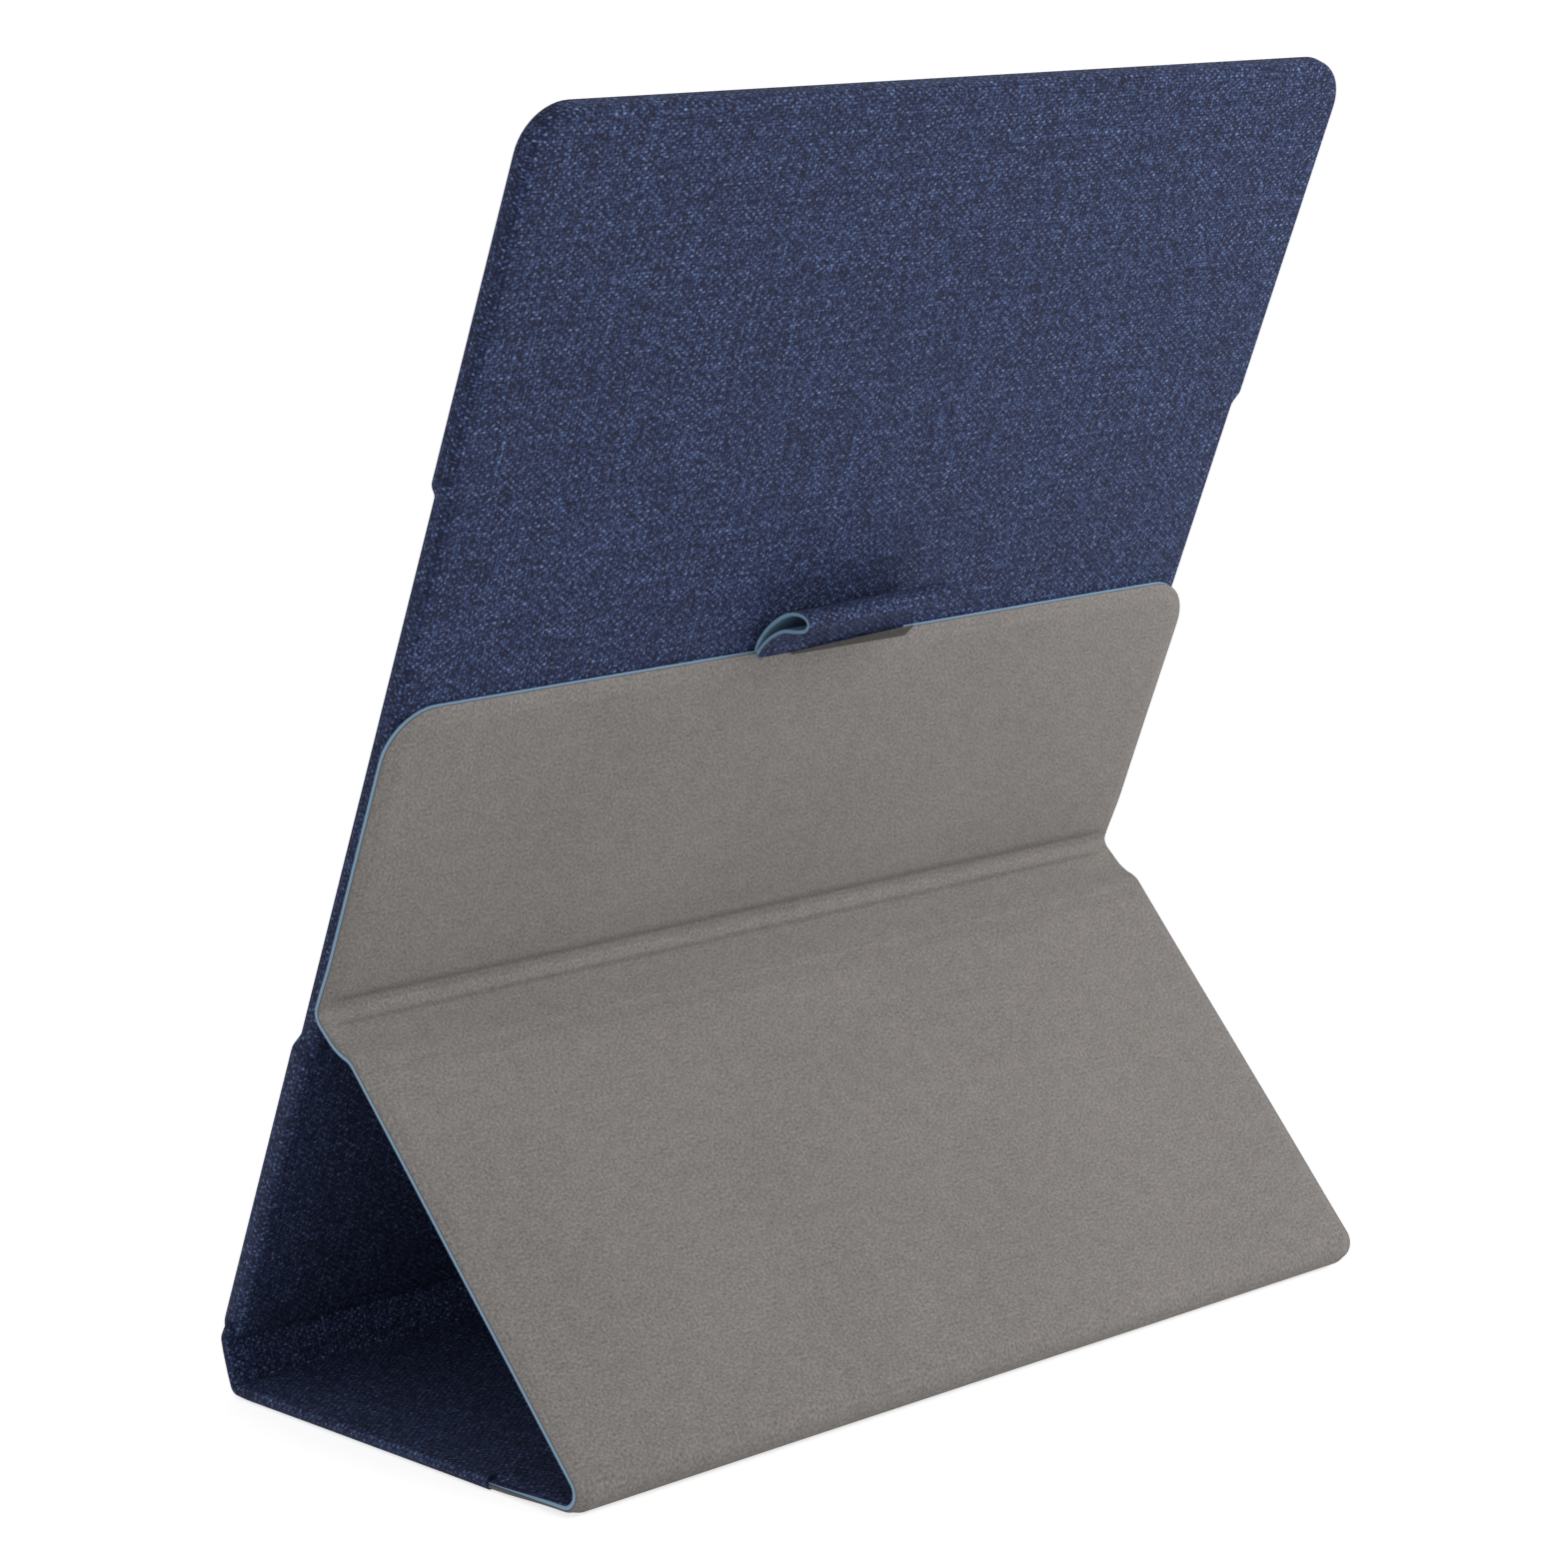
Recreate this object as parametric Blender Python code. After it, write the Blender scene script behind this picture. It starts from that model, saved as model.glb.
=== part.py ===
"""Tablet folio case, standing on its own folded cover.

A padded back panel carries the tablet on its front under four elastic corner straps. A narrow spine
joins the back to the cover. The cover is one laminated sheet: outer skin, stiff boards and soft lining.
It folds into a base on the table, a strut that rises behind, and a flap that lies against the back and
holds by magnets. A pen loop of folded skin is pinched in the flap's upper edge.

Units are metres and degrees. +Z is up, the tablet side faces -Y, and X runs along the folds.
"""

import math

import bmesh
import bpy
from mathutils import Matrix, Vector

MM = 0.001

# Back panel
BACK_WIDTH = 198.6 * MM
BACK_LENGTH = 233.9 * MM
BACK_ANGLE = 68.9
BACK_CORNER = 9.0 * MM
BACK_FOOT_CORNER = 3.0 * MM
BACK_SKIN_OUT = 2.0 * MM
BACK_SKIN_WALL = 0.6 * MM
BACK_HEM = 9.0 * MM
BACK_HEM_OUT = 3.2 * MM
BACK_EDGE_RADIUS = 1.8 * MM
BACK_LINING_INSET = 3.0 * MM
BACK_LINING_WALL = 0.5 * MM
PADDING_WALL = 2.2 * MM
BACK_BOARD_WALL = 1.5 * MM
BACK_END_GAP = 0.9 * MM
RECESS_DEPTH = 1.4 * MM
RECESS_LOW = 58.3 * MM
RECESS_HIGH = 167.1 * MM
RECESS_SLOPE = 3.0 * MM

# Cover sheet: heights are measured from its middle plane, positive towards the skin
BASE_WIDTH = 201.3 * MM
COVER_WIDTH = 200.0 * MM
SKIN_OUT = 1.0 * MM
SKIN_WALL = 0.7 * MM
BOARD_OUT = 0.2 * MM
BOARD_WALL = 0.9 * MM
LINING_WALL = 0.5 * MM
LINING_MARGIN_IN = 0.15 * MM
LAYER_GAP = 0.1 * MM
END_GAP = 0.15 * MM
LINING_SETBACK = 1.0 * MM
BOARD_MARGIN = 3.0 * MM
PRESS_SLOPE = 1.2 * MM
SMALL_CORNER = 0.4 * MM

# Panels and folds, in order from the back panel to the flap
SPINE_LENGTH = 6.7 * MM
SPINE_ANGLE = 107.2
STRUT_LENGTH = 89.25 * MM
STRUT_ANGLE = 132.0
STRUT_TOP_MARGIN = 11.1 * MM
FOLD_LENGTH = 4.3 * MM
FLAP_LENGTH = 52.75 * MM
FLAP_CORNER = 9.7 * MM
FLAP_TOP_MARGIN = 5.7 * MM
FLAP_CLEARANCE = 0.1 * MM
SPINE_FOLD_RADIUS = 2.0 * MM
BACK_FOLD_RADIUS = 2.5 * MM
STRUT_FOLD_RADIUS = 3.2 * MM
CREASE_RADIUS = 2.0 * MM

# The front part of the base is edged by turned-in skin, the rest is cut flush
TURNED_LENGTH = 66.0 * MM
TURNED_HEM = 8.0 * MM
TURNED_WALL = 0.5 * MM

# Pen loop of folded skin
LOOP_LENGTH = 38.0 * MM
LOOP_WALL = 0.6 * MM
LOOP_RISE = 10.7 * MM
LOOP_REACH = 8.8 * MM
LOOP_BELLY = 1.5 * MM
LOOP_ROOT = 3.6 * MM
LOOP_STEPS = 14
LOOP_CAP_STEPS = 8

# Magnets, keepers and straps
MAGNET_WIDTH = 24.0 * MM
MAGNET_HEIGHT = 12.0 * MM
MAGNET_OFFSET = 62.0 * MM
MAGNET_ALONG_FLAP = 33.0 * MM
SEAT_GAP = 0.2 * MM
STRAP_WIDTH = 9.0 * MM
STRAP_WALL = 0.8 * MM
STRAP_REACH = 34.0 * MM
STRAP_INSET = 7.0 * MM

CORNER_STEPS = 6
EDGE_STEPS = 6
FOLD_STEPS = 10

COLOURS = {
    "skin": ((0.032, 0.046, 0.110, 1.0), 0.85, 0.0),
    "lining": ((0.215, 0.195, 0.175, 1.0), 0.95, 0.0),
    "board": ((0.30, 0.27, 0.22, 1.0), 0.90, 0.0),
    "padding": ((0.10, 0.10, 0.11, 1.0), 0.95, 0.0),
    "magnet": ((0.55, 0.55, 0.56, 1.0), 0.35, 1.0),
    "elastic": ((0.020, 0.022, 0.030, 1.0), 0.80, 0.0),
}


def clear_scene():
    for old in list(bpy.data.objects):
        bpy.data.objects.remove(old, do_unlink=True)


def finish_material(kind):
    """A Principled material for one kind of stock, made once."""
    found = bpy.data.materials.get(kind)
    if found:
        return found
    colour, roughness, metallic = COLOURS[kind]
    made = bpy.data.materials.new(kind)
    made.use_nodes = True
    shader = made.node_tree.nodes["Principled BSDF"]
    shader.inputs["Base Color"].default_value = colour
    shader.inputs["Roughness"].default_value = roughness
    shader.inputs["Metallic"].default_value = metallic
    return made


def directions(heading):
    """Unit vectors along a panel and to the left of it, in the Y-Z plane."""
    angle = math.radians(heading)
    along = Vector((0.0, math.cos(angle), math.sin(angle)))
    left = Vector((0.0, -math.sin(angle), math.cos(angle)))
    return along, left


class Panel:
    """A flat stretch of the sheet: where it starts, which way it runs and on which side its skin lies."""

    def __init__(self, start, heading, length, skin_side):
        self.start = start
        self.heading = heading
        self.length = length
        self.along, left = directions(heading)
        self.skinward = left * skin_side
        self.skin_side = skin_side

    def at(self, x, s, h):
        """The point x across the panel, s along it and h above its middle plane towards the skin."""
        return self.start + Vector((x, 0.0, 0.0)) + self.along * s + self.skinward * h

    def end(self):
        return self.at(0.0, self.length, 0.0)


class Bend:
    """A curved stretch of the sheet between two panels, and the axis that the second panel swings on.

    The axis is the pole of the motion from bent to flat, so that the flattened sheet keeps its length.
    """

    def __init__(self, start, heading, turn, radius, skin_side):
        self.start = start
        self.heading = heading
        self.turn = turn
        self.radius = radius
        self.skin_side = skin_side
        self.side = math.copysign(1.0, turn)
        along, left = directions(heading)
        self.centre = start + left * radius * self.side
        self.end = self.point(1.0, 0.0)
        flat_end = start + along * radius * math.radians(abs(turn))
        across = flat_end - self.end
        quarter_turned = Vector((0.0, -across.z, across.y))
        self.axis = (self.end + flat_end) / 2 + quarter_turned / (2 * math.tan(math.radians(-turn) / 2))

    def point(self, share, h):
        """The point at a share of the bend, h above the middle plane towards the skin."""
        _, left = directions(self.heading + self.turn * share)
        return self.centre + left * (h * self.skin_side - self.radius * self.side)


def lay_out():
    """The panels and bends of the standing case. The flap, resting on the back, sets the base's length."""
    rest = -(BOARD_OUT - BOARD_WALL - LAYER_GAP - LINING_WALL)
    origin = Vector((0.0, 0.0, rest))
    parts = {}
    parts["spine_bend"] = Bend(origin, 180.0, SPINE_ANGLE - 180.0, SPINE_FOLD_RADIUS, -1)
    parts["spine"] = Panel(parts["spine_bend"].end, SPINE_ANGLE, SPINE_LENGTH, -1)
    back_turn = BACK_ANGLE - SPINE_ANGLE
    parts["back_bend"] = Bend(parts["spine"].end(), SPINE_ANGLE, back_turn, BACK_FOLD_RADIUS, -1)
    parts["back"] = Panel(parts["back_bend"].end, BACK_ANGLE, BACK_LENGTH, -1)
    crease_turn = (BACK_ANGLE - STRUT_ANGLE) / 2

    def rear_chain(base_length):
        chain = {"base": Panel(origin, 0.0, base_length, 1)}
        chain["strut_bend"] = Bend(chain["base"].end(), 0.0, STRUT_ANGLE, STRUT_FOLD_RADIUS, 1)
        chain["strut"] = Panel(chain["strut_bend"].end, STRUT_ANGLE, STRUT_LENGTH, 1)
        chain["low_bend"] = Bend(chain["strut"].end(), STRUT_ANGLE, crease_turn, CREASE_RADIUS, 1)
        fold_angle = STRUT_ANGLE + crease_turn
        chain["fold"] = Panel(chain["low_bend"].end, fold_angle, FOLD_LENGTH, 1)
        chain["high_bend"] = Bend(chain["fold"].end(), fold_angle, crease_turn, CREASE_RADIUS, 1)
        chain["flap"] = Panel(chain["high_bend"].end, BACK_ANGLE, FLAP_LENGTH, 1)
        return chain

    outward = parts["back"].skinward
    wanted = BACK_SKIN_OUT + FLAP_CLEARANCE + SKIN_OUT
    trial = rear_chain(0.0)["flap"].start - parts["back"].start
    parts.update(rear_chain((wanted - trial.dot(outward)) / outward.y))
    return parts


def outline(half_width, low, high, low_corner=SMALL_CORNER, high_corner=SMALL_CORNER):
    """A panel's cut shape as (x, s) points, anticlockwise, with round corners at its two ends."""
    points = []
    corners = [
        (half_width - low_corner, low + low_corner, low_corner, -90.0),
        (half_width - high_corner, high - high_corner, high_corner, 0.0),
        (-half_width + high_corner, high - high_corner, high_corner, 90.0),
        (-half_width + low_corner, low + low_corner, low_corner, 180.0),
    ]
    for x, s, radius, first in corners:
        for step in range(CORNER_STEPS + 1):
            angle = math.radians(first + 90.0 * step / CORNER_STEPS)
            points.append((x + radius * math.cos(angle), s + radius * math.sin(angle)))
    return points


def back_outline(inset):
    """The back panel's cut shape, with a shallow recess along each side edge, drawn in by a distance."""
    half = BACK_WIDTH / 2 - inset
    shape = outline(
        half,
        BACK_END_GAP + inset,
        BACK_LENGTH - inset,
        max(BACK_FOOT_CORNER - inset, SMALL_CORNER),
        max(BACK_CORNER - inset, SMALL_CORNER),
    )
    recess = [
        (half, RECESS_LOW),
        (half - RECESS_DEPTH, RECESS_LOW + RECESS_SLOPE),
        (half - RECESS_DEPTH, RECESS_HIGH - RECESS_SLOPE),
        (half, RECESS_HIGH),
    ]
    right_end = CORNER_STEPS + 1
    left_start = 3 * right_end
    mirrored = [(-x, s) for x, s in reversed(recess)]
    return shape[:right_end] + recess + shape[right_end:left_start] + mirrored + shape[left_start:]


def add_object(name, mesh, body, kind):
    """Links a mesh made in rest coordinates as a named piece whose origin is on its body's axis."""
    piece = bpy.data.objects.new(name, mesh)
    bpy.context.scene.collection.objects.link(piece)
    mesh.transform(body.matrix_world.inverted())
    mesh.materials.append(finish_material(kind))
    mesh.shade_smooth()
    mesh.set_sharp_from_angle(angle=math.radians(35.0))
    piece.parent = body
    return piece


def ring_body(name, loops, body, kind):
    """A closed body lofted through loops of equal count and capped at both ends."""
    shape = bmesh.new()
    rows = [[shape.verts.new(point) for point in loop] for loop in loops]
    for lower, upper in zip(rows, rows[1:]):
        for index in range(len(lower)):
            after = (index + 1) % len(lower)
            shape.faces.new((lower[index], lower[after], upper[after], upper[index]))
    shape.faces.new(list(reversed(rows[0])))
    shape.faces.new(rows[-1])
    bmesh.ops.recalc_face_normals(shape, faces=shape.faces)
    mesh = bpy.data.meshes.new(name)
    shape.to_mesh(mesh)
    shape.free()
    return add_object(name, mesh, body, kind)


def loop_at(panel, shape, h):
    return [panel.at(x, s, h) for x, s in shape]


def plate(name, panel, shape, low, high, body, kind):
    """A flat piece of one thickness."""
    return ring_body(name, [loop_at(panel, shape, low), loop_at(panel, shape, high)], body, kind)


def pressed_lining(name, panel, edge, raised, body):
    """Lining that lies on the skin round the margin and steps up over the board."""
    margin_low = LINING_MARGIN_IN - LINING_WALL
    over_board = BOARD_OUT - BOARD_WALL - LAYER_GAP
    foot = []
    for x, s in raised:
        outward = math.copysign(PRESS_SLOPE, s - panel.length / 2)
        foot.append((x + math.copysign(PRESS_SLOPE, x), s + outward))
    loops = [
        loop_at(panel, raised, over_board - LINING_WALL),
        loop_at(panel, foot, margin_low),
        loop_at(panel, edge, margin_low),
        loop_at(panel, edge, LINING_MARGIN_IN),
        loop_at(panel, foot, LINING_MARGIN_IN),
        loop_at(panel, raised, over_board),
    ]
    return ring_body(name, loops, body, "lining")


def strip(name, profile, half_width, body, kind):
    """A closed cross-section in the Y-Z plane, carried across the width."""
    sides = []
    for x in (-half_width, half_width):
        sides.append([point + Vector((x, 0.0, 0.0)) for point in profile])
    return ring_body(name, sides, body, kind)


def fold_strip(name, bend, low, high, half_width, body):
    """The skin and lining bonded together round one fold, with a small gap to the panel at each end."""
    share = END_GAP / (bend.radius * math.radians(abs(bend.turn)))
    shares = [share + (1 - 2 * share) * step / FOLD_STEPS for step in range(FOLD_STEPS + 1)]
    profile = [bend.point(value, low) for value in shares]
    profile += [bend.point(value, high) for value in reversed(shares)]
    return strip(name, profile, half_width, body, "skin")


def cut_seats(piece, panel, centres, low, high, body):
    """Cuts a rectangular seat for each magnet through a board."""
    half_width = MAGNET_WIDTH / 2 + SEAT_GAP
    half_height = MAGNET_HEIGHT / 2 + SEAT_GAP
    for number, (x, s) in enumerate(centres):
        corners = outline(half_width, s - half_height, s + half_height)
        shape = [(x + dx, ds) for dx, ds in corners]
        name = f"{piece.name}_seat_{number}"
        cutter = plate(name, panel, shape, low - BOARD_WALL, high + BOARD_WALL, body, "board")
        cutter.hide_render = True
        cutter.display_type = "WIRE"
        cut = piece.modifiers.new(name, "BOOLEAN")
        cut.object = cutter
        cut.solver = "EXACT"


def make_magnets(prefix, panel, along, low, high, body):
    """One thin magnet or keeper on each side of the middle."""
    for side, sign in (("right", -1.0), ("left", 1.0)):
        corners = outline(MAGNET_WIDTH / 2, along - MAGNET_HEIGHT / 2, along + MAGNET_HEIGHT / 2)
        shape = [(sign * MAGNET_OFFSET + dx, ds) for dx, ds in corners]
        plate(f"{prefix}_{side}", panel, shape, low, high, body, "magnet")


def make_back(parts, body):
    """The padded back: skin turned round the edge, padding, board with keepers, and the front's lining."""
    panel = parts["back"]
    outer_arc = (BACK_SKIN_OUT - BACK_EDGE_RADIUS, 90.0)
    inner_arc = (BACK_EDGE_RADIUS - BACK_HEM_OUT, 0.0)
    loops = []
    for level, first in (outer_arc, inner_arc):
        for step in range(EDGE_STEPS + 1):
            angle = math.radians(first - 90.0 * step / EDGE_STEPS)
            inset = BACK_EDGE_RADIUS * (1 - math.cos(angle))
            loops.append(loop_at(panel, back_outline(inset), level + BACK_EDGE_RADIUS * math.sin(angle)))
    hem_in = -(BACK_HEM_OUT - TURNED_WALL)
    floor = BACK_SKIN_OUT - BACK_SKIN_WALL
    pocket_inset = BACK_SKIN_WALL + BACK_EDGE_RADIUS / 2
    loops.append(loop_at(panel, back_outline(BACK_HEM), -BACK_HEM_OUT))
    loops.append(loop_at(panel, back_outline(BACK_HEM), hem_in))
    loops.append(loop_at(panel, back_outline(pocket_inset), hem_in))
    loops.append(loop_at(panel, back_outline(pocket_inset), floor))
    ring_body("back_skin", loops, body, "skin")

    fitted = back_outline(pocket_inset + SEAT_GAP)
    padding_high = floor - LAYER_GAP
    padding_low = padding_high - PADDING_WALL
    plate("back_padding", panel, fitted, padding_low, padding_high, body, "padding")
    board_high = padding_low - LAYER_GAP
    board_low = board_high - BACK_BOARD_WALL
    board = plate("back_board", panel, fitted, board_low, board_high, body, "board")
    flap_start = (parts["flap"].start - panel.start).dot(panel.along)
    keeper_along = flap_start + MAGNET_ALONG_FLAP
    centres = [(sign * MAGNET_OFFSET, keeper_along) for sign in (-1.0, 1.0)]
    cut_seats(board, panel, centres, board_low, board_high, body)
    make_magnets("back_keeper", panel, keeper_along, board_low, board_high, body)

    lining_high = -BACK_HEM_OUT - LAYER_GAP
    lining_low = lining_high - BACK_LINING_WALL
    plate("back_lining", panel, back_outline(BACK_LINING_INSET), lining_low, lining_high, body, "lining")
    make_straps(panel, lining_low - LAYER_GAP, body)


def make_straps(panel, top, body):
    """Four elastic bands, each lying flat across one corner of the tablet side."""
    half = BACK_WIDTH / 2 - STRAP_INSET
    ends = {"lower": (BACK_END_GAP + STRAP_INSET, 1.0), "upper": (BACK_LENGTH - STRAP_INSET, -1.0)}
    for level, (edge, inward) in ends.items():
        for side, sign in (("right", -1.0), ("left", 1.0)):
            slant = STRAP_WIDTH * math.sqrt(2.0)
            shape = [
                (sign * half, edge + inward * STRAP_REACH),
                (sign * half, edge + inward * (STRAP_REACH + slant)),
                (sign * (half - STRAP_REACH - slant), edge),
                (sign * (half - STRAP_REACH), edge),
            ]
            plate(f"corner_strap_{level}_{side}", panel, shape, top - STRAP_WALL, top, body, "elastic")


def turned_skin(name, panel, start, finish, body):
    """Base skin whose side edges are turned round and under."""
    half = BASE_WIDTH / 2
    under = BOARD_OUT - BOARD_WALL - LAYER_GAP
    radius = (SKIN_OUT - under + TURNED_WALL) / 2
    middle = SKIN_OUT - radius
    section = []
    for sign in (1.0, -1.0):
        arc = []
        for step in range(EDGE_STEPS + 1):
            angle = math.radians(90.0 - 180.0 * step / EDGE_STEPS)
            across = half - radius + radius * math.cos(angle)
            arc.append((sign * across, middle + radius * math.sin(angle)))
        hem = [(sign * (half - TURNED_HEM), under - TURNED_WALL), (sign * (half - TURNED_HEM), under)]
        hem += [(sign * (half - radius), under), (sign * (half - radius), SKIN_OUT - SKIN_WALL)]
        section += (arc + hem) if sign > 0 else list(reversed(arc + hem))
    loops = [[panel.at(x, s, h) for x, h in section] for s in (start, finish)]
    ring_body(name, loops, body, "skin")
    return half - radius


def make_base(parts, body):
    """The base: a board in turned-in skin at the front, and a flush-cut tail up to the strut's fold."""
    panel = parts["base"]
    inner_half = turned_skin("base_skin", panel, END_GAP, TURNED_LENGTH, body)
    board_shape = outline(inner_half - SEAT_GAP, BOARD_MARGIN, TURNED_LENGTH - SEAT_GAP)
    plate("base_board", panel, board_shape, BOARD_OUT - BOARD_WALL, BOARD_OUT, body, "board")
    lining_high = BOARD_OUT - BOARD_WALL - LAYER_GAP
    lining_shape = outline(BASE_WIDTH / 2 - TURNED_HEM - SEAT_GAP, LINING_SETBACK, TURNED_LENGTH)
    plate("base_lining", panel, lining_shape, lining_high - LINING_WALL, lining_high, body, "lining")
    tail_shape = outline(COVER_WIDTH / 2, TURNED_LENGTH + END_GAP, panel.length - END_GAP)
    plate("tail_skin", panel, tail_shape, SKIN_OUT - SKIN_WALL, SKIN_OUT, body, "skin")
    bonded_low = LINING_MARGIN_IN - LINING_WALL
    plate("tail_lining", panel, tail_shape, bonded_low, LINING_MARGIN_IN, body, "lining")


def make_spine(parts, body):
    """The narrow spine with its stiffener between skin and lining."""
    panel = parts["spine"]
    shape = outline(BASE_WIDTH / 2, END_GAP, panel.length - END_GAP)
    inside = outline(BASE_WIDTH / 2, LINING_SETBACK, panel.length - LINING_SETBACK)
    stiff = outline(BASE_WIDTH / 2 - BOARD_MARGIN, LINING_SETBACK, panel.length - LINING_SETBACK)
    plate("spine_skin", panel, shape, SKIN_OUT - SKIN_WALL, SKIN_OUT, body, "skin")
    plate("spine_board", panel, stiff, BOARD_OUT - BOARD_WALL, BOARD_OUT, body, "board")
    under = BOARD_OUT - BOARD_WALL - LAYER_GAP
    plate("spine_lining", panel, inside, under - LINING_WALL, under, body, "lining")


def make_strut(parts, body):
    """The strut: flush-cut skin and lining with a board pressed between them."""
    panel = parts["strut"]
    edge = outline(COVER_WIDTH / 2, END_GAP, panel.length - END_GAP)
    raised = outline(COVER_WIDTH / 2 - BOARD_MARGIN, BOARD_MARGIN, panel.length - STRUT_TOP_MARGIN)
    inner = outline(
        COVER_WIDTH / 2 - BOARD_MARGIN - SEAT_GAP,
        BOARD_MARGIN + SEAT_GAP,
        panel.length - STRUT_TOP_MARGIN - SEAT_GAP,
    )
    plate("strut_skin", panel, edge, SKIN_OUT - SKIN_WALL, SKIN_OUT, body, "skin")
    plate("strut_board", panel, inner, BOARD_OUT - BOARD_WALL, BOARD_OUT, body, "board")
    pressed_lining("strut_lining", panel, edge, raised, body)


def make_fold(parts, body):
    """The narrow band between the two creases, with no board."""
    panel = parts["fold"]
    shape = outline(COVER_WIDTH / 2, END_GAP, panel.length - END_GAP)
    plate("fold_skin", panel, shape, SKIN_OUT - SKIN_WALL, SKIN_OUT, body, "skin")
    plate("fold_lining", panel, shape, LINING_MARGIN_IN - LINING_WALL, LINING_MARGIN_IN, body, "lining")


def with_top_points(shape, points):
    """Puts points into a shape's upper edge, between its two upper corners."""
    split = 2 * (CORNER_STEPS + 1)
    return shape[:split] + points + shape[split:]


def make_flap(parts, body):
    """The flap: rounded upper corners, a board with two magnets, and the pen loop in its upper edge."""
    panel = parts["flap"]
    edge = outline(COVER_WIDTH / 2, END_GAP, panel.length, SMALL_CORNER, FLAP_CORNER)
    inset_half = COVER_WIDTH / 2 - BOARD_MARGIN
    inset_corner = FLAP_CORNER - BOARD_MARGIN
    board_top = panel.length - FLAP_TOP_MARGIN
    raised = outline(inset_half, BOARD_MARGIN, board_top, SMALL_CORNER, inset_corner)
    inner = outline(
        inset_half - SEAT_GAP,
        BOARD_MARGIN + SEAT_GAP,
        board_top - SEAT_GAP,
        SMALL_CORNER,
        inset_corner,
    )
    plate("flap_skin", panel, edge, SKIN_OUT - SKIN_WALL, SKIN_OUT, body, "skin")
    board_low = BOARD_OUT - BOARD_WALL
    board = plate("flap_board", panel, inner, board_low, BOARD_OUT, body, "board")
    centres = [(sign * MAGNET_OFFSET, MAGNET_ALONG_FLAP) for sign in (-1.0, 1.0)]
    cut_seats(board, panel, centres, board_low, BOARD_OUT, body)
    make_magnets("flap_magnet", panel, MAGNET_ALONG_FLAP, board_low, BOARD_OUT, body)
    make_flap_lining(panel, edge, raised, board_top, body)
    make_pen_loop(panel, body)


def make_flap_lining(panel, edge, raised, board_top, body):
    """The flap's lining: pressed over the board, and notched in its upper edge for the pen loop's root."""
    half = LOOP_LENGTH / 2 + SEAT_GAP
    depth = panel.length - LOOP_ROOT - SEAT_GAP
    notch = [(half, panel.length), (half, depth), (-half, depth), (-half, panel.length)]
    under_notch = [(x, board_top) for x, _ in notch]
    pressed_lining(
        "flap_lining", panel, with_top_points(edge, notch), with_top_points(raised, under_notch), body
    )


def loop_centre_line():
    """The pen loop's strip as (outward, up) points from one root end round the teardrop to the other."""
    control = (0.9 * MM, 6.4 * MM)
    tip = (LOOP_REACH, LOOP_RISE)

    def axis(t):
        return tuple(2 * (1 - t) * t * c + t * t * e for c, e in zip(control, tip))

    def across(t):
        slope = [2 * (1 - 2 * t) * c + 2 * t * e for c, e in zip(control, tip)]
        size = math.hypot(*slope)
        return (-slope[1] / size, slope[0] / size)

    def half_gap(t):
        root = LOOP_WALL / 2 + LAYER_GAP / 2
        return root + (LOOP_BELLY - root) * math.sin(math.pi / 2 * t) ** 1.5

    upper = []
    lower = []
    for step in range(LOOP_STEPS + 1):
        t = step / LOOP_STEPS
        centre = axis(t)
        normal = across(t)
        gap = half_gap(t)
        upper.append((centre[0] + normal[0] * gap, centre[1] + normal[1] * gap))
        lower.append((centre[0] - normal[0] * gap, centre[1] - normal[1] * gap))
    end = axis(1.0)
    normal = across(1.0)
    cap = []
    for step in range(1, LOOP_CAP_STEPS):
        angle = math.pi * step / LOOP_CAP_STEPS
        side = math.cos(angle) * LOOP_BELLY
        ahead = math.sin(angle) * LOOP_BELLY
        outward = end[0] + normal[0] * side + normal[1] * ahead
        upward = end[1] + normal[1] * side - normal[0] * ahead
        cap.append((outward, upward))
    root_gap = LOOP_WALL / 2 + LAYER_GAP / 2
    return [(-root_gap, -LOOP_ROOT)] + upper + cap + lower[::-1] + [(root_gap, -LOOP_ROOT)]


def make_pen_loop(panel, body):
    """A strip of skin folded into a flat teardrop, its ends held between the skin and a lining tab."""
    line = loop_centre_line()
    outer = []
    inner = []
    for index, (x, y) in enumerate(line):
        before = line[max(index - 1, 0)]
        after = line[min(index + 1, len(line) - 1)]
        run = (after[0] - before[0], after[1] - before[1])
        size = math.hypot(*run)
        normal = (-run[1] / size * LOOP_WALL / 2, run[0] / size * LOOP_WALL / 2)
        outer.append((x + normal[0], y + normal[1]))
        inner.append((x - normal[0], y - normal[1]))
    root_height = SKIN_OUT - SKIN_WALL - 1.5 * LAYER_GAP - LOOP_WALL
    section = outer + inner[::-1]
    profile = [panel.at(0.0, panel.length + up, root_height - out) for out, up in section]
    strip("pen_loop", profile, LOOP_LENGTH / 2, body, "skin")
    tab_high = root_height - LOOP_WALL - 1.5 * LAYER_GAP
    tab = outline(LOOP_LENGTH / 2, panel.length - LOOP_ROOT, panel.length)
    plate("loop_tab", panel, tab, tab_high - LINING_WALL, tab_high, body, "lining")


def add_axis(name, axis, heading, parent):
    """An empty on a joint's axis, turned to its panel, that carries the pieces of one moving body."""
    holder = bpy.data.objects.new(name, None)
    bpy.context.scene.collection.objects.link(holder)
    world = Matrix.Translation(axis) @ Matrix.Rotation(math.radians(heading), 4, "X")
    holder.parent = parent
    holder.matrix_basis = parent.matrix_world.inverted() @ world if parent else world
    bpy.context.view_layer.update()
    return holder


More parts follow.
